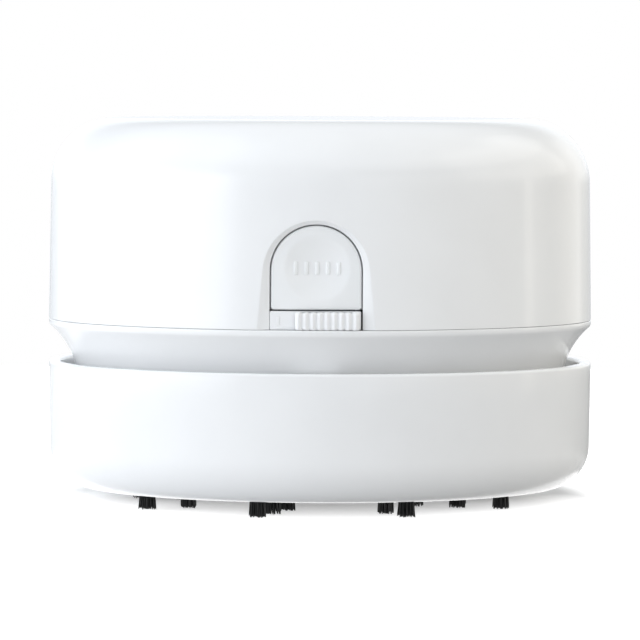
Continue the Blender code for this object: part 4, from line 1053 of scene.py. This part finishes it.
motorSettings = dict(
    radius=12.1, low=28.3, high=50.5, boss=3.1, bossLow=26.6, bore=1.3, capRadius=11.0,
    capLow=50.8, capHigh=53.0, tagPlace=7.5, tagHalf=1.0, tagThickness=0.6, tagLow=53.3,
    tagHigh=55.9, strapHalf=3.5, strapThickness=0.8, strapSide=14.2, strapTop=53.7,
    footLevel=31.7, footEnd=21.4, groove=2.5, grooveHalf=0.3, grooveDepth=0.12,
    bearing=3, capStep=0.35, tagHole=0.42, screwPlace=18.0, screwHole=1.1,
)

# the two sides of the cleaner, with the sign of x
sides = ((-1, "left"), (1, "right"))


def makeMotor():
    # deep-drawn can with a rolled groove below its cap and a boss for the bearing, a stepped cap,
    # and two tags: upright plates with round corners and a hole
    s = values(motorSettings)
    r, top, low, groove = s.radius, s.high, s.bossLow, s.high - s.groove
    can = [(0, top), (r, top), (r, groove + s.grooveHalf), (r - s.grooveDepth, groove),
           (r, groove - s.grooveHalf), (r, s.low), (s.boss, s.low), (s.boss, low), (s.bore, low),
           (s.bore, low + s.bearing), (0, low + s.bearing)]
    mesh = turned(can, [0, 0.7, 0.15, 0.15, 0.15, 0.9, 0.4, 0.4, 0.15, 0.1, 0], 128)
    addPiece("motorCan", mesh, zincSteel, ["motor_can"], 40)
    r, top, step = s.capRadius, s.capHigh, s.capHigh - s.capStep
    cap = [(0, top - 0.7), (1.4, top - 0.7), (1.4, top), (3.4, top), (3.7, step), (r - 1.4, step),
           (r - 1.1, top), (r, top), (r, s.capLow), (0, s.capLow)]
    mesh = turned(cap, [0, 0.1, 0.2, 0.2, 0.1, 0.1, 0.2, 0.35, 0.2, 0], 128)
    addPiece("motorCap", mesh, darkNylon, ["motor_end_cap"])
    for side, word in sides:
        x, half, deep, middle = side * s.tagPlace, s.tagHalf, s.tagThickness / 2, s.tagHigh - s.tagHalf
        outer = rectangleLoop((x - half, s.tagLow), (x + half, s.tagHigh), 0.6, 6, 8)
        turn = np.arctan2(outer[:, 1] - middle, outer[:, 0] - x)
        hole = np.column_stack([x + s.tagHole * np.cos(turn), middle + s.tagHole * np.sin(turn)])
        loops = [standing(loop, place) for loop, place in ((hole, deep), (outer, deep), (outer, -deep),
                                                           (hole, -deep))]
        addPiece(f"motorTag{word.capitalize()}", [ringSheet(loops)], brassTag,
                 [f"motor_terminal_{word}"], 30, 0.08)


def makeStrap():
    # foot, riser, bridge over the cap, riser and foot as a flat strip, with a hole in each foot
    s = values(motorSettings)
    side, top, foot, end = s.strapSide, s.strapTop, s.footLevel, s.footEnd
    route = roundedRoute([(end, foot), (side, foot), (side, top), (-side, top), (-side, foot),
                          (-end, foot)], [1.0, 1.3, 1.3, 1.0])
    holes = [rodSheet(s.screwHole, foot - 2, foot + 2, (0, way * s.screwPlace), 40) for way in (-1, 1)]
    mesh = carve([strapSheet(route, s.strapHalf, s.strapThickness)], holes)
    addPiece("motorStrap", mesh, stripSteel, ["motor_strap"])


makeMotor()
makeStrap()
print("motor made")


# Cells, trays and contacts

cellSettings = dict(
    place=20.9, height=37.5, start=24.35, length=50.5, core=7.05, film=7.25, nub=2.75, shoulder=49.3,
    bandStart=38.5, fold=6.2, end=0.12, filmRise=0.15, filmGap=0.03, bandGap=0.04, ringIn=3.1,
    ringOut=6.05, ringRise=0.2,
)
traySettings = dict(
    half=5.4, low=28.3, base=29.3, end=28.05, inset=0.3, wallInset=0.15, wallInside=27.05,
    wallTop=42.0, saddlePlace=16.0, saddleHalf=1.5, saddleTop=33.0, hollow=7.55, bevel=0.15,
)
contactSettings = dict(
    face=26.45, back=26.75, half=4.4, low=33.3, high=41.7, corner=0.8, edge=0.06, bump=2.0,
    bumpRise=0.32, bumpRoot=0.1, coilIn=1.3, coilGrowth=2.7, coilTurns=3, coilStart=24.9, wire=0.25,
)


def makeCell(side, word):
    # turned about an axis along y: a drawn steel can with its nub, a printed film in two plain
    # colours shrunk over it, and the ring that keeps the film off the nub
    s = values(cellSettings)
    core, film, fold, top, end = s.core, s.film, s.fold, s.shoulder, s.end
    split, start, rise, gap = s.bandStart, s.bandStart + s.bandGap, top + s.filmRise, top + s.filmGap
    parts = [
        ("Can", cellSteel, [(0, end), (5.0, end), (5.2, 0.3), (5.7, 0.3), (5.9, end), (core, end),
                            (core, top), (s.nub, top), (s.nub, s.length), (0, s.length)],
         [0, 0.1, 0.1, 0.1, 0.1, 0.5, 0.6, 0.3, 0.4, 0]),
        ("Film", cellFilm, [(fold, 0), (film, 0), (film, split), (core, split), (core, end),
                            (fold, end)], [0.04, 0.55, 0.04, 0.04, 0.4, 0.04]),
        ("Band", cellBand, [(core, start), (film, start), (film, rise), (fold, rise), (fold, gap),
                            (core, gap)], [0.04, 0.04, 0.6, 0.04, 0.04, 0.45]),
        ("Ring", darkNylon, [(s.ringIn, gap), (s.ringOut, gap), (s.ringOut, top + s.ringRise),
                             (s.ringIn, top + s.ringRise)], [0.02, 0.02, 0.06, 0.06]),
    ]
    for part, look, corners, radii in parts:
        corners = [(radius, side * (height - s.start)) for radius, height in corners]
        mesh = turned(corners, radii, 96, (side * s.place, s.height), "y")
        stands = [f"battery_cell_{word}"] if part == "Can" else ()
        addPiece(f"cell{part}{word.capitalize()}", mesh, look, stands)


def makeTray(side, word):
    # base, a wall at each end and two saddles as boxes in one, hollowed by the cell's cylinder
    s = values(traySettings)
    x, half, reach = side * cellSettings["place"], s.half, contactSettings["back"]
    blocks = []
    for end in (-1, 1):
        wall = sorted((end * s.wallInside, end * (s.end - s.wallInset)))
        saddle = end * s.saddlePlace - s.saddleHalf, end * s.saddlePlace + s.saddleHalf
        for (first, last), top in ((wall, s.wallTop), (saddle, s.saddleTop)):
            blocks.append(boxSheet((x - half + s.inset, first, s.low + s.inset),
                                   (x + half - s.inset, last, top)))
    mesh = carve([boxSheet((x - half, -s.end, s.low), (x + half, s.end, s.base))], blocks, "UNION")
    hollow = turnedSheet([(0, -reach), (s.hollow, -reach), (s.hollow, reach), (0, reach)], 96, False,
                         (x, cellSettings["height"]), "y")
    addPiece(f"cellTray{word.capitalize()}", carve(mesh, [hollow]), innerAbs,
             [f"battery_tray_{word}"], 30, s.bevel)


def contactSheets(lowX, highX, side, bumps):
    # a thin plate with round corners, and a pressed bump, a low turned dome, where a nub touches it
    s = values(contactSettings)
    e, face, back = s.edge, s.face * side, s.back * side
    outline = rectangleLoop((lowX, s.low), (highX, s.high), s.corner, 8, 6)
    inset = rectangleLoop((lowX + e, s.low + e), (highX - e, s.high - e), s.corner - e, 8, 6)
    loops = [standing(inset, -face), standing(outline, -(face + e * side)),
             standing(outline, -(back - e * side)), standing(inset, -back)]
    turn, root = np.linspace(0, quarter, 8), face + s.bumpRoot * side
    dome = np.column_stack([s.bump * np.sin(turn), root - s.bumpRise * side * np.cos(turn)])
    domes = [turnedSheet([*dome, (0, root)], 48, False, (x, cellSettings["height"]), "y")
             for x in bumps]
    return [stackedSheet(loops)] + domes


def makeContacts():
    # a bridge across both cells at one end, and a plate for each at the other
    place, half = cellSettings["place"], contactSettings["half"]
    for word, *plate in (("bridge", -place - half, place + half, 1, [place]),
                         ("plus", -place - half, -place + half, -1, [-place]),
                         ("minus", place - half, place + half, -1, [])):
        addPiece(f"contact{word.capitalize()}", contactSheets(*plate), contactPlate,
                 [f"contact_{word}"])


def makeCellSprings():
    # a flat cone of wire: the radius grows evenly over three turns, from the cell to its contact
    s = values(contactSettings)
    share = np.linspace(0, 1, 145)
    radius, angle = s.coilIn + s.coilGrowth * share, share * s.coilTurns * fullTurn
    for side, word in sides:
        route = np.column_stack([side * cellSettings["place"] + radius * np.cos(angle),
                                 -side * (s.coilStart + share),
                                 cellSettings["height"] + radius * np.sin(angle)])
        addPiece(f"cellSpring{word.capitalize()}", makeMesh([tubeSheet(route, s.wire, 12)], fineWeld),
                 nickelWire, [f"battery_spring_{word}"], 50)


for side, word in sides:
    makeCell(side, word)
    makeTray(side, word)
makeContacts()
makeCellSprings()
print("cells made")


# Latch, guide, spring and switch

latchSettings = dict(
    half=2.6, stemLow=38.0, stemHigh=40.6, stemFront=-38.1, armFront=-31.93, armBack=-30.63,
    noseLow=19.3, noseHigh=20.5, noseEnd=-39.05, slope=0.6, slopeBack=0.7, overlap=0.5, bevel=0.15,
)
guideSettings = dict(
    half=9.0, leg=6.7, low=28.3, high=44.0, under=32.3, front=-36.0, back=-34.8, gap=0.3, bevel=0.2,
)
springSettings = dict(radius=1.2, wire=0.2, height=35.6, start=-39.5, end=-36.5, curls=3.44)
switchBoxSettings = dict(
    housing=((-5.8, -37.83, 29.6), (5.8, -34.13, 32.0)),
    slot=((-3.1, -39, 29.95), (3.1, -36.63, 31.55)),
    board=((-6.0, -37.83, 28.3), (6.0, -32.53, 29.3)),
    slider=((0.8, -41.0, 30.25), (2.8, -36.93, 31.25)),
)


def makeLatch():
    # arm, stem and nose as boxes in one, with a slope down to the nose's tip
    s = values(latchSettings)
    h, inner = s.half, s.armFront + s.overlap
    arm = boxSheet((-h, s.armFront, s.noseLow), (h, s.armBack, s.stemHigh))
    stem = boxSheet((-h, s.stemFront, s.stemLow), (h, inner, s.stemHigh))
    nose = boxSheet((-h, s.noseEnd + s.slope, s.noseLow), (h, inner, s.noseHigh))
    tip = [[(-h, y, s.noseLow), (h, y, s.noseLow), (h, y, top), (-h, y, top)]
           for y, top in ((s.noseEnd, s.noseHigh - s.slope), (s.noseEnd + s.slopeBack, s.noseHigh))]
    mesh = carve([arm], [stem, nose, stackedSheet(tip)], "UNION")
    addPiece("latchArm", mesh, innerAbs, ["latch_arm"], 30, s.bevel, "button")


def makeGuide():
    # plate with the gap for the switch between its legs and the window for the stem
    s, stem = values(guideSettings), values(latchSettings)
    front, back, halfStem = s.front - 1, s.back + 1, stem.half + s.gap
    plate = boxSheet((-s.half, s.front, s.low), (s.half, s.back, s.high))
    between = boxSheet((-s.leg, front, s.low - 1), (s.leg, back, s.under))
    window = boxSheet((-halfStem, front, stem.stemLow - s.gap), (halfStem, back, stem.stemHigh + s.gap))
    addPiece("buttonGuide", carve([plate], [between, window]), innerAbs, ["button_guide"], 30, s.bevel)


def makeButtonSpring():
    # wire along a coil of even radius: angle and depth grow evenly from end to end
    s = values(springSettings)
    share = np.linspace(0, 1, 121)
    angle = share * s.curls * fullTurn
    route = np.column_stack([s.radius * np.cos(angle), s.start + (s.end - s.start) * share,
                             s.height + s.radius * np.sin(angle)])
    mesh = makeMesh([tubeSheet(route, s.wire, 12)], fineWeld)
    spring = addPiece("returnSpring", mesh, nickelWire, ["button_spring"], 50)
    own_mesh(spring)


def makeSwitchBox():
    # boxes: folded steel housing with the slot for the slider, the board under it and the slider
    s = values(switchBoxSettings)
    housing = carve([boxSheet(*s.housing)], [boxSheet(*s.slot)])
    addPiece("switchHousing", housing, stripSteel, ["slide_switch"], 30, 0.18)
    addPiece("switchBoard", [boxSheet(*s.board)], boardLaminate, ["switch_board"], 30, 0.06)
    addPiece("switchSlider", [boxSheet(*s.slider)], darkNylon, ["switch_slider"], 30, 0.12, "knob")


makeLatch()
makeGuide()
makeButtonSpring()
makeSwitchBox()
print("latch and switch parts made")


# Leads

leadSettings = dict(
    radius=0.4, endShare=0.7, sides=14, blob=0.72, blobTaper=0.35, blobRise=0.55, blobSink=0.25,
    routes={
        "red": [(-17.9, -26.45, 42.1), (-17.9, -26.45, 44.8), (-16.5, -21.16, 47.55),
                (-10.3, -10.58, 54.6), (-7.5, -2.8, 57.1), (-7.5, 0, 56.3)],
        "black": [(17.9, -26.45, 42.1), (17.9, -26.45, 44.8), (12.3, -30.65, 43.4),
                  (7.8, -31.83, 35.8), (5.0, -33.23, 32.4), (5.0, -33.23, 29.8)],
        "blue": [(-5.0, -33.23, 29.8), (-5.0, -33.23, 32.4), (-5.0, -30.43, 44.75),
                 (0, -19.84, 54.6), (7.5, -2.8, 57.1), (7.5, 0, 56.3)],
    },
)


def makeLeads():
    # each lead is a tube along a smooth route with its ends drawn in, and a solder drop at each end:
    # drop radius = blob * sin(turn) ** 0.8, less towards the lead
    s = values(leadSettings)
    turn = np.linspace(0, math.pi, 12)
    girth = s.blob * np.sin(turn) ** 0.8 * (1 - s.blobTaper * turn / math.pi)
    girth[[0, -1]] = 0
    drops = []
    for (word, marks), look in zip(s.routes.items(), (redPvc, blackPvc, bluePvc)):
        route = smoothRoute(marks, 90)
        thick = np.full(len(route), s.radius)
        thick[[0, -1]] *= s.endShare
        addPiece(f"{word}Lead", [tubeSheet(route, thick, s.sides)], look, [f"lead_{word}"], 50)
        for x, y, z in (route[0], route[-1]):
            drop = np.column_stack([girth, z - s.blobRise * np.cos(turn) - s.blobSink])
            drops.append(turnedSheet(drop, 24, False, (x, y)))
    addPiece("solderDrops", drops, solderTin, (), 60)


makeLeads()
print("leads made")


# Floor, light and camera

floorSettings = dict(
    # the paper's right is darker as painted shade, for less light falling there
    left="F4F4F4", right="ADADAD", change=60.0, size=400.0,
    # the mirror settings set a painted reflection: a glow that only reflections see, with a painted
    # glint under the foot
    mirrorLeft=0.6, mirrorRight=0.3, mirrorStart=100.0, mirrorEnd=220.0, mirrorFar=0.3,
    mirrorBehind=40.0, mirrorGone=80.0, footMirror=0.9, footStart=45.0, footEnd=49.0,
    # nearGlow and the shade settings draw a painted shadow in the glow that the camera sees
    nearGlow=0.38, glowPlace=15.0, glowStart=20.0, glowEnd=50.0, shadeFoot=-4.0, shadeCurve=51.0,
    shadeDepth=26.0, shadeMiddle=20.0, shadeWide=44.0, shadeLong=60.0, shadeInside=0.86,
    shadeOutside=1.05,
)
worldSettings = dict(
    leftLevel=0.42, rightLevel=0.45, overhead=0.36, overheadFrom=0.5, overheadTo=0.8,
    backdrop=0.78, backdropFrom=0.4, backdropTo=0.9, backdropTop=0.5, backdropFull=0.25,
    leftTint="F5F9FE", rightTint="FFFAEF", tintStart=0.2, tintEnd=0.9,
    # azimuth, elevation, half width, half height, corner and softness in degrees, and level
    panels=[
        (-80, 7, 42, 13, 10, 9, 2.6), (-85, 48, 42, 26, 14, 3, 0.45), (60, 6, 50, 12, 10, 6, 0.52),
        (75, 38, 72, 9, 8, 1.5, 0.5), (100, 30, 36, 22, 7, 1.5, 0.5), (100, -5, 3, 12, 2, 1.5, 0.8),
        (130, 8, 24, 26, 16, 6, 0.15), (-10, 4, 60, 14, 12, 8, 0.3), (10, 54, 85, 14, 12, 8, 0.24),
        (165, -8, 18, 8.5, 3, 3, -0.55), (-165, -8, 18, 8.5, 3, 3, -0.55),
    ],
)
# lens and sensor in mm, clipEnd in metres, turn and roll in degrees
cameraSettings = dict(
    lens=323, sensor=36, clipEnd=50, away=901, height=69.7, aim=28.9, turn=0.82, roll=0.25,
)


def makeFloor():
    # white paper, a little brighter on the left: its darker right is painted shade, for less light
    # falling there. It has a glow that lights nothing. The camera sees the glow at full white but for
    # a painted shadow: below the cleaner it is weak, and it rises over shadeDepth in front of the line
    # y = x * x / shadeCurve, which runs along the cleaner's lower edge, and at the rim of an oval.
    # Reflections see the glow as a painted reflection, weaker on the right, far off and behind, and
    # strong under the foot, a painted glint that draws the bright line on the lower edge. From below
    # the camera looks through the paper
    s = values(floorSettings)
    half = s.size * mm
    mesh = bpy.data.meshes.new("floor")
    mesh.from_pydata([(-half, -half, 0), (half, -half, 0), (half, half, 0), (-half, half, 0)], [],
                     [(0, 1, 2, 3)])
    floor = addObject("floor", mesh)
    material = bpy.data.materials.new("whitePaper")
    tree, place = emptyTree(material)
    x, y = [addNode(tree, "ShaderNodeSeparateXYZ", {0: place}, axis) for axis in "XY"]
    # painted shade: the paper's colour darkens from left to right
    share = ramp(tree, x, -s.change * mm, s.change * mm)
    paper = addNode(tree, "ShaderNodeBsdfDiffuse", {"Color": mixColours(tree, share, s.left, s.right)})
    # painted shadow: the camera's glow is weak below the cleaner and rises along its lower edge and at
    # an oval's rim
    away = addNode(tree, "ShaderNodeVectorMath",
                   {"operation": "DISTANCE", 0: place, 1: (0, s.glowPlace * mm, 0)}, "Value")
    least = ramp(tree, away, s.glowStart * mm, s.glowEnd * mm, s.nearGlow, 0.0)
    bend = calc(tree, "DIVIDE", calc(tree, "MULTIPLY", x, x), s.shadeCurve * mm)
    bend = calc(tree, "SUBTRACT", bend, y)
    ahead = ramp(tree, bend, -s.shadeFoot * mm, (s.shadeDepth - s.shadeFoot) * mm)
    oval = addNode(tree, "ShaderNodeVectorMath",
                   {"operation": "MULTIPLY_ADD", 0: place, 2: (0, -s.shadeMiddle / s.shadeLong, 0),
                    1: (1 / (s.shadeWide * mm), 1 / (s.shadeLong * mm), 0)})
    oval = addNode(tree, "ShaderNodeVectorMath", {"operation": "LENGTH", 0: oval}, "Value")
    around = ramp(tree, oval, s.shadeInside, s.shadeOutside, kind="SMOOTHSTEP")
    rise = calc(tree, "MAXIMUM", ahead, around)
    rise = calc(tree, "MULTIPLY_ADD", least, calc(tree, "SUBTRACT", 1.0, rise), rise)
    # painted reflection: a glow only reflections see, weaker on the right, far off and behind, and
    # strong under the foot as a painted glint for the bright line on the lower edge
    mirror = ramp(tree, share, 0.0, 1.0, s.mirrorLeft, s.mirrorRight)
    fade = ramp(tree, away, s.mirrorStart * mm, s.mirrorEnd * mm, 1.0, s.mirrorFar)
    front = ramp(tree, y, s.mirrorGone * mm, s.mirrorBehind * mm)
    foot = ramp(tree, away, s.footEnd * mm, s.footStart * mm, 0.0, s.footMirror, "SMOOTHSTEP")
    mirror = calc(tree, "MULTIPLY_ADD", calc(tree, "MULTIPLY", mirror, fade), front, foot)
    camera, glossy = [addNode(tree, "ShaderNodeLightPath", None, f"Is {kind} Ray")
                      for kind in ("Camera", "Glossy")]
    strength = calc(tree, "MULTIPLY_ADD", glossy, mirror, calc(tree, "MULTIPLY", rise, camera))
    glow = addNode(tree, "ShaderNodeEmission", {"Color": (1, 1, 1, 1), "Strength": strength})
    both = addNode(tree, "ShaderNodeAddShader", {0: paper, 1: glow})
    below = calc(tree, "MULTIPLY", camera, addNode(tree, "ShaderNodeNewGeometry", None, "Backfacing"))
    clear = addNode(tree, "ShaderNodeBsdfTransparent")
    seen = addNode(tree, "ShaderNodeMixShader", {0: below, 1: both, 2: clear})
    addNode(tree, "ShaderNodeOutputMaterial", {"Surface": seen})
    mesh.materials.append(material)


def panelMask(tree, azimuth, elevation, panel):
    # level inside a panel of the sky, 0 outside: the distance to a rectangle with round corners,
    # length(max(|p - centre| - half + corner, 0)) - corner, with a soft edge
    *middles, wide, high, corner, soft, level = panel
    sides = []
    for angle, middle, half in zip((azimuth, elevation), middles, (wide, high)):
        away = calc(tree, "ABSOLUTE", calc(tree, "SUBTRACT", angle, math.radians(middle)))
        away = calc(tree, "SUBTRACT", away, math.radians(half - corner))
        sides.append(calc(tree, "MAXIMUM", away, 0.0))
    both = addNode(tree, "ShaderNodeCombineXYZ", dict(enumerate(sides)))
    away = addNode(tree, "ShaderNodeVectorMath", {"operation": "LENGTH", 0: both}, "Value")
    outer, soft = math.radians(corner), math.radians(soft)
    return ramp(tree, away, outer + soft, outer - soft, 0.0, level, "SMOOTHSTEP")


def makeWorld():
    # white to the camera. To the cleaner it is a pale studio: a little cooler on the left than on
    # the right, brighter overhead and low behind, with a window and reflectors as panels
    s = values(worldSettings)
    world = bpy.data.worlds.new("studio")
    bpy.context.scene.world = world
    tree, place = emptyTree(world)
    x, y, z = [addNode(tree, "ShaderNodeSeparateXYZ", {0: place}, axis) for axis in "XYZ"]
    azimuth = calc(tree, "ARCTAN2", x, calc(tree, "MULTIPLY", y, -1.0))
    elevation = calc(tree, "ARCSINE", z)
    total = ramp(tree, x, -1.0, 1.0, s.leftLevel, s.rightLevel)
    overhead = ramp(tree, z, s.overheadFrom, s.overheadTo, 0.0, s.overhead, "SMOOTHSTEP")
    behind = ramp(tree, y, s.backdropFrom, s.backdropTo, 0.0, s.backdrop, "SMOOTHSTEP")
    low = ramp(tree, z, s.backdropTop, s.backdropFull, kind="SMOOTHSTEP")
    extras = [overhead, calc(tree, "MULTIPLY", behind, low)]
    for extra in extras + [panelMask(tree, azimuth, elevation, panel) for panel in s.panels]:
        total = calc(tree, "ADD", total, extra)
    colour = mixColours(tree, ramp(tree, x, s.tintStart, s.tintEnd), s.leftTint, s.rightTint)
    studio = addNode(tree, "ShaderNodeBackground", {"Color": colour, "Strength": total})
    white = addNode(tree, "ShaderNodeBackground", {"Color": (1, 1, 1, 1), "Strength": 1.0})
    camera = addNode(tree, "ShaderNodeLightPath", None, "Is Camera Ray")
    both = addNode(tree, "ShaderNodeMixShader", {0: camera, 1: studio, 2: white})
    addNode(tree, "ShaderNodeOutputWorld", {"Surface": both})


def makeCamera():
    # long lens from far in front, a little above the cleaner
    s = values(cameraSettings)
    camera = bpy.data.cameras.new("camera")
    camera.lens = s.lens
    camera.sensor_width = s.sensor
    camera.clip_end = s.clipEnd
    view = addObject("camera", camera)
    turn = math.radians(s.turn)
    start = Vector((s.away * math.sin(turn), -s.away * math.cos(turn), s.height)) * mm
    level = (Vector((0, 0, s.aim)) * mm - start).to_track_quat("-Z", "Y").to_matrix().to_4x4()
    roll = Matrix.Rotation(math.radians(s.roll), 4, "Z")
    view.matrix_world = Matrix.Translation(start) @ level @ roll
    bpy.context.scene.camera = view


makeFloor()
makeWorld()
makeCamera()
bpy.context.scene.view_settings.view_transform = "Standard"
print("stage made")
